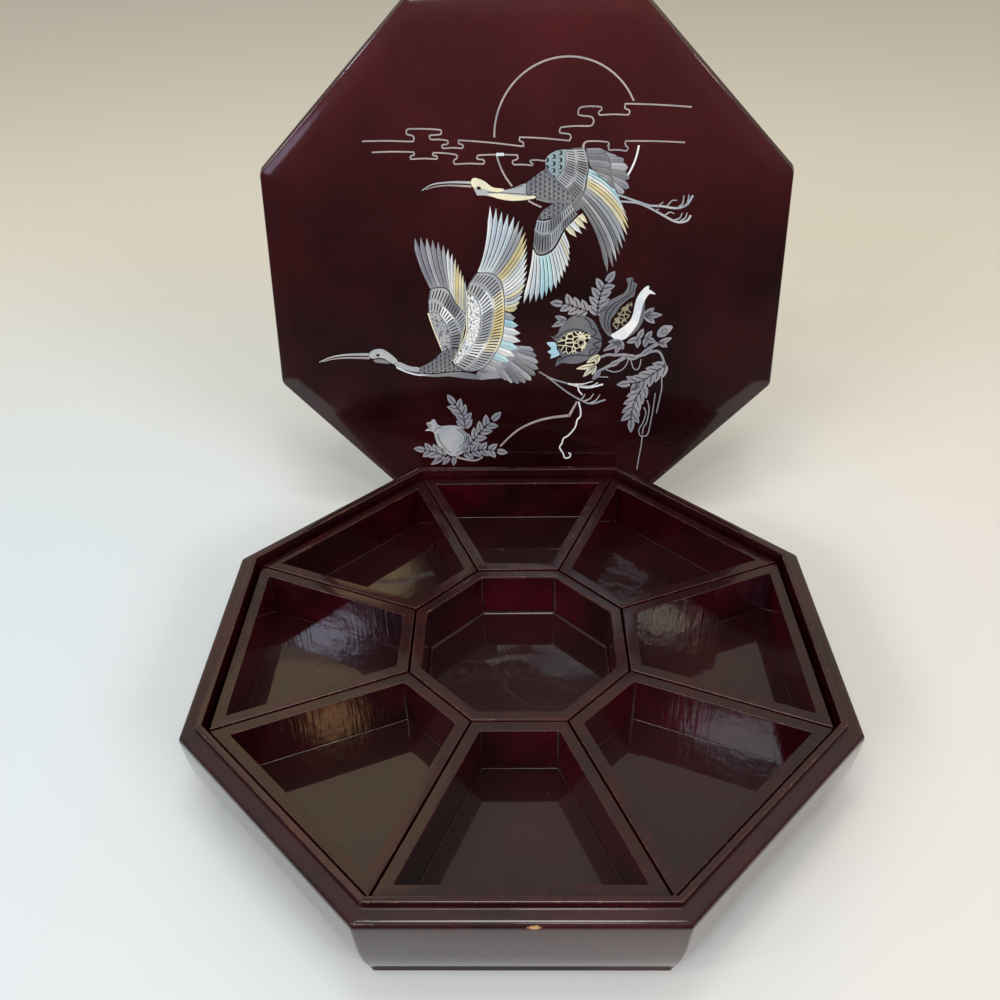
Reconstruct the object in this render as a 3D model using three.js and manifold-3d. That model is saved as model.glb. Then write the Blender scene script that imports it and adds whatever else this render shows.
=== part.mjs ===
// Octagonal nine-tray serving box in dark red lacquer, its lid off and standing behind it.
// Millimetres, +Z up. The origin is the middle of the base's underside, on the table.
import * as THREE from 'three';
import { mergeVertices } from 'three/addons/utils/BufferGeometryUtils.js';
import Module from 'manifold-3d';

const wasm = await Module();
wasm.setup();

// Clearances
const glueLine = 0.1;
const seatGap = 0.2;
const shellFilm = 0.05;
const shellGap = 0.35;

// Base: eight mitred wall boards on a foot board, with a rabbeted rim that leaves a ledge and a lip
const sideCount = 8;
const rimAcross = 330;
const ledgeHeight = 50;
const ledgeWidth = 8;
const lipWidth = 3.2;
const lipHeight = 4;
const rimRound = 3;
const footHeight = 6;
const footInset = 9;
const wallFootInset = 7.5;
const wallBulge = 6;
const floorThickness = 8.8;

// Trays: one octagon in the middle and eight trapezoids around it
const centreTrayAcross = 113.5;
const trayWall = 6.1;
const trayFloor = 6;
const trayDrop = 1.5;
const trayGap = 1;
const trayPlay = 2.2;

// Lid: eight mitred sides under a panel whose face is bevelled all round
const lidSideHeight = 12;
const lidPanelThickness = 6;
const lidFlare = 2.6;
const lidRimRound = 1;
const lidPlay = 0.6;
const panelEdgeHeight = 2.2;
const panelEdgeRound = 1.6;
const bevelWidth = 11.5;
const bevelDrop = 2.1;

// Where the lid stands: it leans back and is turned a little
const lidX = 5.5;
const lidFootGap = 3.4;
const lidLean = THREE.MathUtils.degToRad(10.83);
const lidTurn = THREE.MathUtils.degToRad(-1.56);

// Mother-of-pearl inlay, drawn on the flat of the lid's face with its middle as zero
const shellThickness = 0.6;
const lineWidth = 1.4;
const curveStep = 2.5;

// Sizes that follow from the ones above
const halfTurn = Math.PI / sideCount;
const cornerSlope = Math.tan(halfTurn);
const rimHalf = rimAcross / 2;
const lipOuter = rimHalf - ledgeWidth;
const lipInner = lipOuter - lipWidth;
const wallBottom = footHeight + glueLine;
const floorTop = wallBottom + floorThickness;
const trayBottom = floorTop + seatGap;
const trayTop = ledgeHeight - trayDrop;
const traysHalf = lipInner - trayPlay;
const centreHalf = centreTrayAcross / 2;
const lidInner = lipOuter + lidPlay;
const lidDepth = lidSideHeight + glueLine + lidPanelThickness;
const panelHalf = rimHalf - lidFlare;
const plateauHalf = panelHalf - panelEdgeRound - bevelWidth;
const lidY = rimHalf + lidFootGap + lidDepth * Math.cos(lidLean) + rimHalf * Math.sin(lidLean);

// The inlay's drawing is 149 units from its middle to the edge of the flat
const motifScale = plateauHalf / 149;
const lineUnits = lineWidth / motifScale;
const gapUnits = shellGap / motifScale;

const lacquer = new THREE.MeshStandardMaterial({ color: 0x3a0f14, roughness: 0.18, metalness: 0 });
const trayLacquer = new THREE.MeshStandardMaterial({ color: 0x42101a, roughness: 0.15, metalness: 0 });
const footLacquer = new THREE.MeshStandardMaterial({ color: 0x1c0a0b, roughness: 0.3, metalness: 0 });
const shell = new THREE.MeshStandardMaterial({ color: 0xc9ccd0, roughness: 0.3, metalness: 0.1 });

// General helpers

function addPart(parent, name, geometry, material) {
  const mesh = new THREE.Mesh(geometry, material);
  mesh.name = name;
  parent.add(mesh);
  return mesh;
}

function extrude(shape, depth, bottom = 0) {
  const geometry = new THREE.ExtrudeGeometry(shape, { depth, bevelEnabled: false });
  return geometry.translate(0, 0, bottom);
}

function octagon(half) {
  const radius = half / Math.cos(halfTurn);
  return Array.from({ length: sideCount }, (_, i) => {
    const angle = (2 * i + 1) * halfTurn;
    return new THREE.Vector2(radius * Math.cos(angle), radius * Math.sin(angle));
  });
}

// A board of one side of the octagon: a profile of (distance from the middle, height), mitred at both ends
function mitredBoard(profile) {
  const count = profile.length;
  const position = [];
  for (const end of [-1, 1]) {
    for (const point of profile) {
      const reach = point.x * cornerSlope - glueLine / 2 / Math.cos(halfTurn);
      position.push(point.x, end * reach, point.y);
    }
  }
  const index = [];
  for (let i = 0; i < count; i += 1) {
    const next = (i + 1) % count;
    index.push(i, count + i, next, next, count + i, count + next);
  }
  for (const [a, b, c] of THREE.ShapeUtils.triangulateShape(profile, [])) {
    index.push(a, b, c, count + a, count + c, count + b);
  }
  const geometry = new THREE.BufferGeometry();
  geometry.setAttribute('position', new THREE.Float32BufferAttribute(position, 3));
  geometry.setIndex(index);
  geometry.computeVertexNormals();
  return geometry;
}

function ringOfBoards(parent, name, profile) {
  for (let i = 0; i < sideCount; i += 1) {
    const board = addPart(parent, `${name}_${i + 1}`, mitredBoard(profile), lacquer);
    board.rotation.z = 2 * i * halfTurn;
  }
}

function bowed(start, bend, end, steps) {
  return new THREE.QuadraticBezierCurve(start, bend, end).getPoints(steps);
}

// Base

function buildBase(parent) {
  addPart(parent, 'foot_board', extrude(new THREE.Shape(octagon(rimHalf - footInset)), footHeight), footLacquer);
  const floor = new THREE.Shape(octagon(lipInner - glueLine));
  addPart(parent, 'base_floor', extrude(floor, floorThickness, wallBottom), trayLacquer);
  const bow = bowed(
    new THREE.Vector2(rimHalf - wallFootInset, wallBottom),
    new THREE.Vector2(rimHalf - wallFootInset + wallBulge, wallBottom + 2 * wallBulge),
    new THREE.Vector2(rimHalf, ledgeHeight - rimRound),
    6,
  );
  const shoulder = bowed(
    new THREE.Vector2(rimHalf, ledgeHeight - rimRound),
    new THREE.Vector2(rimHalf, ledgeHeight),
    new THREE.Vector2(rimHalf - rimRound, ledgeHeight),
    3,
  );
  ringOfBoards(parent, 'base_wall', [
    new THREE.Vector2(lipInner, wallBottom),
    ...bow,
    ...shoulder.slice(1),
    new THREE.Vector2(lipOuter, ledgeHeight),
    new THREE.Vector2(lipOuter, ledgeHeight + lipHeight),
    new THREE.Vector2(lipInner, ledgeHeight + lipHeight),
  ]);
}

// Trays

function trapezoid(inset) {
  const near = centreHalf + trayGap + inset;
  const far = traysHalf - inset;
  const half = (x) => x * cornerSlope - (trayGap / 2 + inset) / Math.cos(halfTurn);
  return [
    new THREE.Vector2(near, -half(near)),
    new THREE.Vector2(far, -half(far)),
    new THREE.Vector2(far, half(far)),
    new THREE.Vector2(near, half(near)),
  ];
}

// A frame of walls with its floor let in flush with the bottom
function buildTray(parent, name, outline) {
  const walls = new THREE.Shape(outline(0));
  walls.holes.push(new THREE.Path(outline(trayWall)));
  addPart(parent, `${name}_walls`, extrude(walls, trayTop - trayBottom, trayBottom), trayLacquer);
  const floor = new THREE.Shape(outline(trayWall + glueLine));
  addPart(parent, `${name}_floor`, extrude(floor, trayFloor, trayBottom), trayLacquer);
}

function buildTrays(parent) {
  buildTray(parent, 'centre_tray', (inset) => octagon(centreHalf - inset));
  for (let i = 0; i < sideCount; i += 1) {
    const place = new THREE.Group();
    place.rotation.z = 2 * i * halfTurn;
    buildTray(place, `side_tray_${i + 1}`, trapezoid);
    parent.add(place);
  }
}

// Lid, built face up with its rim at zero height and then stood up

function buildLidBody(parent) {
  const side = bowed(
    new THREE.Vector2(rimHalf, lidRimRound),
    new THREE.Vector2(rimHalf, lidSideHeight / 2),
    new THREE.Vector2(panelHalf, lidSideHeight),
    4,
  );
  ringOfBoards(parent, 'lid_side', [
    new THREE.Vector2(lidInner, 0),
    new THREE.Vector2(rimHalf - lidRimRound, 0),
    ...side,
    new THREE.Vector2(lidInner, lidSideHeight),
  ]);
  const bottom = lidSideHeight + glueLine;
  const bevelFoot = lidDepth - bevelDrop;
  const corner = 1 / Math.cos(halfTurn);
  const profile = [
    [0, bottom],
    [panelHalf, bottom],
    [panelHalf, bottom + panelEdgeHeight],
    [panelHalf - panelEdgeRound / 3, bevelFoot - panelEdgeRound / 3],
    [panelHalf - panelEdgeRound, bevelFoot],
    [plateauHalf, lidDepth],
    [0, lidDepth],
  ].map(([half, height]) => new THREE.Vector2(half * corner, height));
  const panel = new THREE.LatheGeometry(profile, sideCount, halfTurn);
  panel.rotateX(Math.PI / 2);
  addPart(parent, 'lid_panel', panel, lacquer);
}

// Shell plates. Each is drawn in the plane and given a thickness; a grown one is taller too, and cuts its neighbour.

function toSolid(geometry) {
  const bare = geometry.clone();
  bare.deleteAttribute('normal');
  bare.deleteAttribute('uv');
  const merged = mergeVertices(bare, 1e-4);
  return new wasm.Manifold(new wasm.Mesh({
    numProp: 3,
    vertProperties: merged.attributes.position.array,
    triVerts: Uint32Array.from(merged.index.array),
  }));
}

function toGeometry(solid) {
  const mesh = solid.getMesh();
  const geometry = new THREE.BufferGeometry();
  geometry.setAttribute('position', new THREE.BufferAttribute(mesh.vertProperties, 3));
  geometry.setIndex(new THREE.BufferAttribute(mesh.triVerts, 1));
  geometry.computeVertexNormals();
  return geometry;
}

function plate(points, grow) {
  const ordered = THREE.ShapeUtils.isClockWise(points) ? [...points].reverse() : points;
  const over = grow > 0 ? 1 : 0;
  return toSolid(extrude(new THREE.Shape(ordered), shellThickness + 2 * over, -over));
}

function join(solids) {
  return solids.reduce((whole, next) => whole.add(next));
}

function cut(solid, ...cutters) {
  return cutters.reduce((rest, cutter) => rest.subtract(cutter), solid);
}

function smooth(points, closed = false) {
  const knots = points.map(([u, v]) => new THREE.Vector3(u, v, 0));
  const curve = new THREE.CatmullRomCurve3(knots, closed, 'centripetal');
  return curve;
}

function sample(curve, step = curveStep) {
  return curve.getSpacedPoints(Math.max(4, Math.round(curve.getLength() / step)));
}

// A closed rounded outline, moved outwards by grow
function blob(points, grow = 0) {
  const ring = sample(smooth(points, true)).slice(0, -1).map((p) => new THREE.Vector2(p.x, p.y));
  const turn = THREE.ShapeUtils.isClockWise(ring) ? -1 : 1;
  const moved = ring.map((point, i) => {
    const before = ring[(i + ring.length - 1) % ring.length];
    const after = ring[(i + 1) % ring.length];
    const along = after.clone().sub(before).normalize();
    return new THREE.Vector2(point.x + turn * grow * along.y, point.y - turn * grow * along.x);
  });
  return plate(moved, grow);
}

// A band along a centre line, whose width runs from the first to the last value
function band(line, widths, grow = 0) {
  const left = [];
  const right = [];
  line.forEach((point, i) => {
    const before = line[Math.max(0, i - 1)];
    const after = line[Math.min(line.length - 1, i + 1)];
    const along = new THREE.Vector2(after.x - before.x, after.y - before.y).normalize();
    const share = i / (line.length - 1);
    const half = THREE.MathUtils.lerp(widths[0], widths[1], share) / 2 + grow;
    left.push(new THREE.Vector2(point.x - half * along.y, point.y + half * along.x));
    right.push(new THREE.Vector2(point.x + half * along.y, point.y - half * along.x));
  });
  return plate([...left, ...right.reverse()], grow);
}

function strip(points, widths = [lineUnits, lineUnits], grow = 0) {
  return band(sample(smooth(points)), widths, grow);
}

// A feather or leaf from root to tip, bent sideways, widest at its middle and pointed at the tip
function feather(root, tip, width, bend, grow = 0) {
  const along = tip.clone().sub(root);
  const across = new THREE.Vector2(-along.y, along.x).normalize();
  const middle = root.clone().lerp(tip, 0.5).addScaledVector(across, 2 * bend);
  const spine = new THREE.QuadraticBezierCurve(root, middle, tip);
  const fullness = [0.75, 0.95, 1, 0.9, 0.05];
  const left = [];
  const right = [];
  fullness.forEach((share, i) => {
    const at = i / (fullness.length - 1);
    const point = spine.getPoint(at);
    const tangent = spine.getTangent(at);
    const half = (share * width) / 2 + grow;
    left.push(new THREE.Vector2(point.x - half * tangent.y, point.y + half * tangent.x));
    right.push(new THREE.Vector2(point.x + half * tangent.y, point.y - half * tangent.x));
  });
  return plate([...left, ...right.reverse()], grow);
}

// Feathers side by side from a root line to a tip line
function fan({ roots, tips, count, width, bend }, grow = 0) {
  const rootLine = smooth(roots);
  const tipLine = smooth(tips);
  return Array.from({ length: count }, (_, i) => {
    const share = i / (count - 1);
    const root = rootLine.getPointAt(share);
    const tip = tipLine.getPointAt(share);
    const bow = THREE.MathUtils.lerp(bend[0], bend[1], share);
    return feather(new THREE.Vector2(root.x, root.y), new THREE.Vector2(tip.x, tip.y), width, bow, grow);
  });
}

// A stem with leaves in pairs and one at its end
function spray({ stem, pairs, leafLength, leafWidth }, grow = 0) {
  const line = smooth(stem);
  const solids = [band(sample(line), [lineUnits, lineUnits], grow)];
  const leafSpread = THREE.MathUtils.degToRad(48);
  const aim = (share, angle) => {
    const point = line.getPointAt(share);
    const tangent = line.getTangentAt(share);
    const root = new THREE.Vector2(point.x, point.y);
    const heading = new THREE.Vector2(tangent.x, tangent.y).rotateAround(new THREE.Vector2(), angle);
    return feather(root, root.clone().addScaledVector(heading, leafLength), leafWidth, 0, grow);
  };
  for (let i = 0; i < pairs; i += 1) {
    const share = (i + 0.6) / (pairs + 0.2);
    solids.push(aim(share, leafSpread), aim(share, -leafSpread));
  }
  solids.push(aim(1, 0));
  return solids;
}

// A cloud line of level runs [from, to, height], each joined to the next by a hook that doubles back
function cloudLine(runs) {
  const path = [];
  runs.forEach(([from, to, height], i) => {
    path.push([from, height], [to, height]);
    const next = runs[i + 1];
    if (next) {
      const rise = (next[2] - height) / 4;
      const bulge = Math.abs(rise);
      path.push([to + bulge, height + rise], [(to + next[0]) / 2, height + 2 * rise]);
      path.push([next[0] - bulge, height + 3 * rise]);
    }
  });
  return band(sample(smooth(path), 1), [lineUnits, lineUnits]);
}

function moonArc(fromDegrees, toDegrees) {
  const moonCentre = new THREE.Vector2(25.5, 87.3);
  const moonRadius = 43.2;
  const [start, end] = [fromDegrees, toDegrees].map(THREE.MathUtils.degToRad);
  const arc = new THREE.EllipseCurve(moonCentre.x, moonCentre.y, moonRadius, moonRadius, start, end, end < start);
  const steps = Math.ceil((Math.abs(end - start) * moonRadius) / curveStep);
  return band(arc.getPoints(steps), [lineUnits, lineUnits]);
}

// The crane under the moon

const upperCrane = {
  body(grow) {
    return join([
      strip([[-62, 57], [-56, 59.8], [-47, 60.8], [-38, 60.6], [-29, 59.5]], [0.5, 3], grow),
      blob([[-32.5, 62.5], [-29, 63.8], [-24, 62], [-19.5, 58.5], [-23, 53.5], [-28.5, 53.5], [-31.5, 57]], grow),
      blob([
        [-24, 61], [-16, 57.5], [-10, 57], [-4, 58.3], [4.5, 63], [12, 68], [18, 64], [25, 57], [26, 52],
        [15, 51], [7, 52.2], [0, 50.8], [-8, 50.6], [-16, 51.8], [-25, 53.8],
      ], grow),
    ]);
  },
  nearWing(grow) {
    const coverts = blob([
      [12.5, 74], [15.5, 78.5], [24, 80.5], [35, 80], [39, 74], [38.5, 66], [38.4, 58], [32.5, 49],
      [27, 53], [20, 61.3], [14.5, 68],
    ], grow);
    const primaries = fan({
      roots: [[37.5, 66.5], [38, 58], [33.8, 49.5]],
      tips: [[62, 44.5], [64.3, 33], [60, 19.5], [50, 6.2]],
      count: 11, width: 4.4, bend: [2, 4],
    }, grow);
    return join([coverts, ...primaries]);
  },
  farWing(grow) {
    const coverts = blob([
      [19, 50], [13, 45.5], [8, 39], [5.5, 28], [7.5, 19], [12, 18], [17, 19], [23, 24], [25.5, 33],
      [31, 39], [34, 44], [31, 48.5], [26, 51],
    ], grow);
    const primaries = fan({
      roots: [[8, 20.5], [13, 19], [21.5, 24], [25, 33]],
      tips: [[-1, -12.3], [7, -11.8], [15.5, -6.8], [23.4, 0.5], [28.3, 13], [28, 27]],
      count: 13, width: 4, bend: [1, 0],
    }, grow);
    const secondaries = fan({
      roots: [[26.5, 34.5], [34, 42]],
      tips: [[31.5, 28.2], [35, 30.6], [38.2, 34]],
      count: 4, width: 4.4, bend: [0, 0],
    }, grow);
    return join([coverts, ...primaries, ...secondaries]);
  },
  tail(grow) {
    return blob([
      [36, 80.7], [42, 81], [47.5, 79.5], [54, 76.3], [60, 73.8], [62.5, 68], [61.3, 64.5], [63.8, 60.5],
      [62, 54.8], [56.8, 54.5], [45, 62], [37, 70],
    ], grow);
  },
  legs(grow) {
    return join([
      strip([[57, 53.6], [68.7, 49.4], [76.4, 47.4], [84, 46.9], [93, 45.8], [99, 47.8], [102.4, 53]], [1.2, 1.6], grow),
      strip([[59, 49.8], [68.7, 49], [75.8, 46.6], [82.2, 43.2], [93, 37.8], [99, 38], [102, 41.4]], [1.2, 1.6], grow),
      strip([[91, 46], [95, 48], [96.8, 53]], [1.2, 1], grow),
      strip([[90, 39], [95, 40.3], [96.9, 43.4]], [1.2, 1], grow),
    ]);
  },
};

// The crane below it

const lowerCrane = {
  body(grow) {
    return join([
      strip([[-135, -51.8], [-126.5, -49], [-116.7, -47.8], [-107, -47.6], [-97, -48]], [0.5, 3.4], grow),
      blob([[-102, -46.5], [-98.5, -43.5], [-93, -43], [-88, -46], [-84, -51], [-91, -52.3], [-98, -51.6]], grow),
      blob([
        [-89, -45.5], [-83, -50.8], [-75, -54.5], [-67.5, -55], [-61.5, -51.5], [-54, -45], [-47, -41.8],
        [-40, -41], [-38, -50], [-30, -56], [-14, -56.5], [-14, -62], [-27, -63.7], [-38.5, -62.7],
        [-47, -60.9], [-57, -60.8], [-65, -62], [-72, -61.3], [-78.5, -58.8], [-85, -54.8], [-93, -52],
      ], grow),
    ]);
  },
  nearWing(grow) {
    const coverts = blob([
      [-36.8, -5], [-32.5, 0], [-25.5, 6], [-20, 5], [-15.5, 0.5], [-13, -10], [-13, -22], [-14.5, -33],
      [-18, -45], [-22, -52.5], [-29, -57], [-38.5, -56.2], [-46, -51.8], [-41.4, -45.3], [-37.6, -34], [-36.4, -20],
    ], grow);
    const primaries = fan({
      roots: [[-27, 4.5], [-21.5, 4.5], [-16.5, 0], [-14, -8], [-13.6, -19]],
      tips: [[-22.5, 46.5], [-16.5, 46.5], [-8, 41], [-0.5, 34], [1.7, 22], [1, 4], [-2, -8.6], [-5.2, -17.6]],
      count: 17, width: 4.2, bend: [-2, -1],
    }, grow);
    const tertials = fan({
      roots: [[-14, -21.5], [-15, -34], [-20, -47], [-27, -56]],
      tips: [[-6.5, -22], [-2.9, -30], [-2.5, -39.5], [-6, -49], [-13, -54.5], [-22, -58.5]],
      count: 9, width: 5.4, bend: [0, 0],
    }, grow);
    return join([coverts, ...primaries, ...tertials]);
  },
  farWing(grow) {
    const coverts = blob([
      [-54, -44], [-57, -32.5], [-62.2, -18], [-59.5, -8], [-58, -3.5], [-54, -2], [-48, -5], [-45, -11.7],
      [-37, -18.5], [-36, -30.5], [-38, -39], [-46, -43],
    ], grow);
    const primaries = fan({
      roots: [[-56.5, -5], [-53, -3.5], [-48.5, -6.5], [-45.5, -12.5], [-39.5, -18.5]],
      tips: [[-69.8, 28.3], [-62.5, 29], [-52.8, 25.5], [-44.3, 17.8], [-39, 6], [-37.8, 1]],
      count: 13, width: 3.8, bend: [1.5, 0],
    }, grow);
    return join([coverts, ...primaries]);
  },
  tail(grow) {
    return blob([
      [-2.5, -41.2], [3, -40.7], [8.2, -46], [9.4, -52.6], [6.7, -62.5], [-2.5, -66.6], [-13, -63], [-12, -55], [-5.7, -48.5],
    ], grow);
  },
  legs(grow) {
    return join([
      strip([[6, -56], [18.6, -63], [29.3, -66.2], [41.7, -68.9], [52.3, -66.6]], [1.2, 1.6], grow),
      strip([[14, -60.8], [18.6, -64], [28.5, -71.8], [37.5, -77.3], [44.7, -80], [54.4, -77.3]], [1.2, 1.6], grow),
      strip([[32, -67], [39, -67.2], [45.6, -64.7]], [1.2, 1], grow),
      strip([[38, -77], [44, -76.5], [50.7, -73.1]], [1.2, 1], grow),
    ]);
  },
};

// Fruit, leaves and twigs

const fruit = {
  left(grow) {
    return blob([
      [37, -20.8], [30, -22.6], [25, -27], [21.5, -31.4], [15.6, -32.7], [18.6, -35.6], [15.3, -39.5], [16.5, -46],
      [21.5, -50], [21, -54.3], [28, -52.9], [37, -52.4], [45.5, -48.3], [50.6, -41], [50.5, -34], [47.4, -26],
      [42, -22],
    ], grow);
  },
  right(grow) {
    return blob([
      [48.8, -22.6], [50, -14.8], [56, -8.7], [63, -6], [66, -2], [65, 3], [70.5, 0.5], [71.5, -7],
      [74.5, -4.8], [78.6, -1.5], [82.6, -5.8], [78, -12], [77, -20], [73, -28.7], [66, -35.5], [60, -37],
      [54, -33], [50.5, -28],
    ], grow);
  },
  low(grow) {
    return blob([
      [-66.5, -99], [-66.3, -95.5], [-64.8, -92.5], [-60.3, -91.7], [-58.5, -95.5], [-50, -96.4], [-43.3, -98.2],
      [-38.5, -102.3], [-37, -107], [-40, -113.3], [-45, -117.3], [-50.5, -118.3], [-56, -116.3], [-59.3, -110],
      [-60.5, -104], [-63, -100.3],
    ], grow);
  },
};

const greenery = {
  top(grow) {
    return join([
      ...spray({ stem: [[46.5, -18.5], [47.5, -9], [50, 0.6], [52, 3]], pairs: 5, leafLength: 7.5, leafWidth: 3.8 }, grow),
      ...spray({ stem: [[46.5, -17.5], [38, -17.6], [30, -15.3], [24, -14]], pairs: 3, leafLength: 7, leafWidth: 4 }, grow),
    ]);
  },
  right(grow) {
    return join([
      strip([[46, -60.5], [54.5, -55.5], [61.3, -52], [66.4, -48.3], [73.3, -46.2], [80, -45.5], [89, -41]], [1, 2], grow),
      strip([[86, -42.5], [90.5, -47], [92, -54]], [lineUnits, lineUnits], grow),
      ...spray({ stem: [[92, -53], [85, -60], [74, -65], [66, -66.4]], pairs: 6, leafLength: 8, leafWidth: 3.8 }, grow),
      ...spray({ stem: [[80, -62.5], [75, -76.7], [72.7, -88], [73, -95]], pairs: 6, leafLength: 7.5, leafWidth: 3.8 }, grow),
      strip([[83, -66], [82.4, -86], [78.3, -98], [80.8, -103.2], [84.2, -99], [86, -81], [88.5, -58]], [1, 1], grow),
      strip([[80.8, -102.5], [79.4, -115], [77.8, -127.5]], [1, 0.8], grow),
    ]);
  },
  low(grow) {
    return join([
      strip([[-36.5, -99], [-34.8, -107], [-38, -114.5], [-44, -119.6], [-51, -120.8], [-58, -118]], [1.2, 1.2], grow),
      ...spray({ stem: [[-36.5, -99], [-41, -89], [-46, -82.5]], pairs: 4, leafLength: 7, leafWidth: 3.6 }, grow),
      ...spray({ stem: [[-35, -107.5], [-28.4, -98], [-20, -91.8]], pairs: 4, leafLength: 7, leafWidth: 3.6 }, grow),
      ...spray({ stem: [[-39, -115.5], [-32.5, -114.4], [-22, -115], [-15, -118]], pairs: 3, leafLength: 6.5, leafWidth: 3.6 }, grow),
      ...spray({ stem: [[-55, -119.5], [-63, -116], [-70, -116.8]], pairs: 3, leafLength: 6.5, leafWidth: 3.6 }, grow),
    ]);
  },
  branch(grow) {
    return join([
      strip([[-14, -108.5], [-1.5, -98], [12.3, -91.5], [30.7, -88.5], [35.6, -79.5]], [2.2, 2.6], grow),
      strip([
        [35.8, -80], [38.4, -87], [35.8, -92.8], [32.7, -98.8], [26.4, -105.7], [24.6, -111.8], [27.6, -118.3],
        [31.3, -118.5], [31.9, -115.7],
      ], [1.6, 1.2], grow),
    ]);
  },
};

function buildInlay(parent) {
  const upperBody = upperCrane.body(gapUnits);
  const upperNear = upperCrane.nearWing(gapUnits);
  const upperTail = upperCrane.tail(gapUnits);
  const lowerBody = lowerCrane.body(gapUnits);
  const lowerNear = lowerCrane.nearWing(gapUnits);
  const lowerTail = lowerCrane.tail(gapUnits);
  const lowerLegs = lowerCrane.legs(gapUnits);
  const leftFruit = fruit.left(gapUnits);
  const rightFruit = fruit.right(gapUnits);
  const lowFruit = fruit.low(gapUnits);
  const lowSprays = greenery.low(gapUnits);

  const plates = {
    moon_upper_arc: moonArc(179, 26.5),
    moon_left_arc: moonArc(195.5, 220.5),
    moon_right_arc: moonArc(353, 330),
    cloud_upper_line: cloudLine([
      [-96.5, -69, 85.3], [-66, -52, 92.3], [-53.5, -47, 86.3], [-46, -39, 81.5], [-38.5, -2, 84.3],
      [-1.5, 25, 88], [24, 38, 93.5], [38, 43, 102.5], [46, 59.5, 98.5], [62.5, 97.5, 104],
    ]),
    cloud_lower_line: cloudLine([
      [-91, -67, 79.3], [-66, -54.5, 74.8], [-53, -42.5, 78.8], [-41.5, -27, 72.3], [-26, -5, 76.5], [-5.5, 8, 71],
    ]),
    cloud_right_line: cloudLine([[42, 50.5, 84.2], [51.5, 59.5, 79.8], [62.5, 95.5, 83.8]]),
    upper_crane_near_wing: upperCrane.nearWing(0),
    upper_crane_body: cut(upperCrane.body(0), upperNear),
    upper_crane_far_wing: cut(upperCrane.farWing(0), upperNear, upperBody),
    upper_crane_tail: cut(upperCrane.tail(0), upperNear),
    upper_crane_legs: cut(upperCrane.legs(0), upperNear, upperTail),
    lower_crane_near_wing: lowerCrane.nearWing(0),
    lower_crane_body: cut(lowerCrane.body(0), lowerNear),
    lower_crane_far_wing: cut(lowerCrane.farWing(0), lowerNear, lowerBody),
    lower_crane_tail: cut(lowerCrane.tail(0), lowerNear, lowerBody),
    lower_crane_legs: cut(lowerCrane.legs(0), lowerTail),
    pomegranate_left: fruit.left(0),
    pomegranate_right: cut(fruit.right(0), leftFruit),
    pomegranate_low: fruit.low(0),
    leaf_sprays_top: cut(greenery.top(0), upperNear, leftFruit, rightFruit),
    leaf_sprays_right: cut(greenery.right(0), lowerLegs),
    leaf_sprays_low: cut(greenery.low(0), lowFruit),
    branch_and_tendril: cut(greenery.branch(0), lowerLegs, lowSprays),
  };
  for (const [name, solid] of Object.entries(plates)) {
    addPart(parent, name, toGeometry(solid), shell);
  }
}

function buildLid(parent) {
  const stand = new THREE.Group();
  const lowest = rimHalf * Math.cos(lidLean) - lidRimRound * Math.sin(lidLean);
  stand.position.set(lidX, lidY, lowest + seatGap);
  stand.rotation.z = lidTurn;
  const lean = new THREE.Group();
  lean.rotation.x = Math.PI / 2 - lidLean;
  buildLidBody(lean);
  const inlay = new THREE.Group();
  inlay.position.z = lidDepth + shellFilm;
  inlay.scale.set(motifScale, motifScale, 1);
  buildInlay(inlay);
  lean.add(inlay);
  stand.add(lean);
  parent.add(stand);
}

const box = new THREE.Group();
buildBase(box);
buildTrays(box);
buildLid(box);

export default box;
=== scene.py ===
"""Octagonal lacquer serving box with nine loose trays and a lid inlaid with mother-of-pearl.

Every piece is in metres in the shared frame: +Z up, the table at zero height, the box's front towards -Y.
Sizes are written in millimetres and turned to metres where a mesh is made.
"""
import logging
import math
from dataclasses import dataclass, field
from enum import Enum, IntEnum
from typing import Callable, Iterable, Sequence

import bmesh
import bpy
from mathutils import Matrix, Vector


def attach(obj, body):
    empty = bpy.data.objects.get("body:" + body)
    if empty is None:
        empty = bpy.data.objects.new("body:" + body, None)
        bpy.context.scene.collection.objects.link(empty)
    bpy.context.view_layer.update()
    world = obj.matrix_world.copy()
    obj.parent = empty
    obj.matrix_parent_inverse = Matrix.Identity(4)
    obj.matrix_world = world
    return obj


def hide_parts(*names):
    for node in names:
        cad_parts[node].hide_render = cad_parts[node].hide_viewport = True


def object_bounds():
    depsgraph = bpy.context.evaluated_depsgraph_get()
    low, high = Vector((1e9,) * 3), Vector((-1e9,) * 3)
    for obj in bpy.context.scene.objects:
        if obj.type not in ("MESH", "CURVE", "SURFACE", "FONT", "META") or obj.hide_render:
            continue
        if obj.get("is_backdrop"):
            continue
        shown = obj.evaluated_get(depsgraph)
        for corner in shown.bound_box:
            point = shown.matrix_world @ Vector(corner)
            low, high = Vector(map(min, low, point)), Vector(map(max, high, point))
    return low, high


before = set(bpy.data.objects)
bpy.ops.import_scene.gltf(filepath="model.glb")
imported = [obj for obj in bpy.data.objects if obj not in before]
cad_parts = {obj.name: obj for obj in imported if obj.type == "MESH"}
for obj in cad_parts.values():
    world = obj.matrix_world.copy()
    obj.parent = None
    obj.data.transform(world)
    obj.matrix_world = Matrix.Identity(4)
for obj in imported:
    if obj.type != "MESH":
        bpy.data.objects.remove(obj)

LOG = logging.getLogger("lacquer_box")
MM = 0.001
MM_PER_CM = 10
SIDES = 8
HALF_TURN = math.pi / SIDES
CAD_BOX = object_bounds()
SMOOTH_DEGREES = 38
CORNER_DEGREES = 5
SAME_ANGLE = 1e-3
SAME_HEIGHT = 1e-6
FINE_STEPS = 12
TRACK_STEP = 0.5

Point = tuple[float, float]
Socket = bpy.types.NodeSocket
Knots = Sequence[Point]


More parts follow.
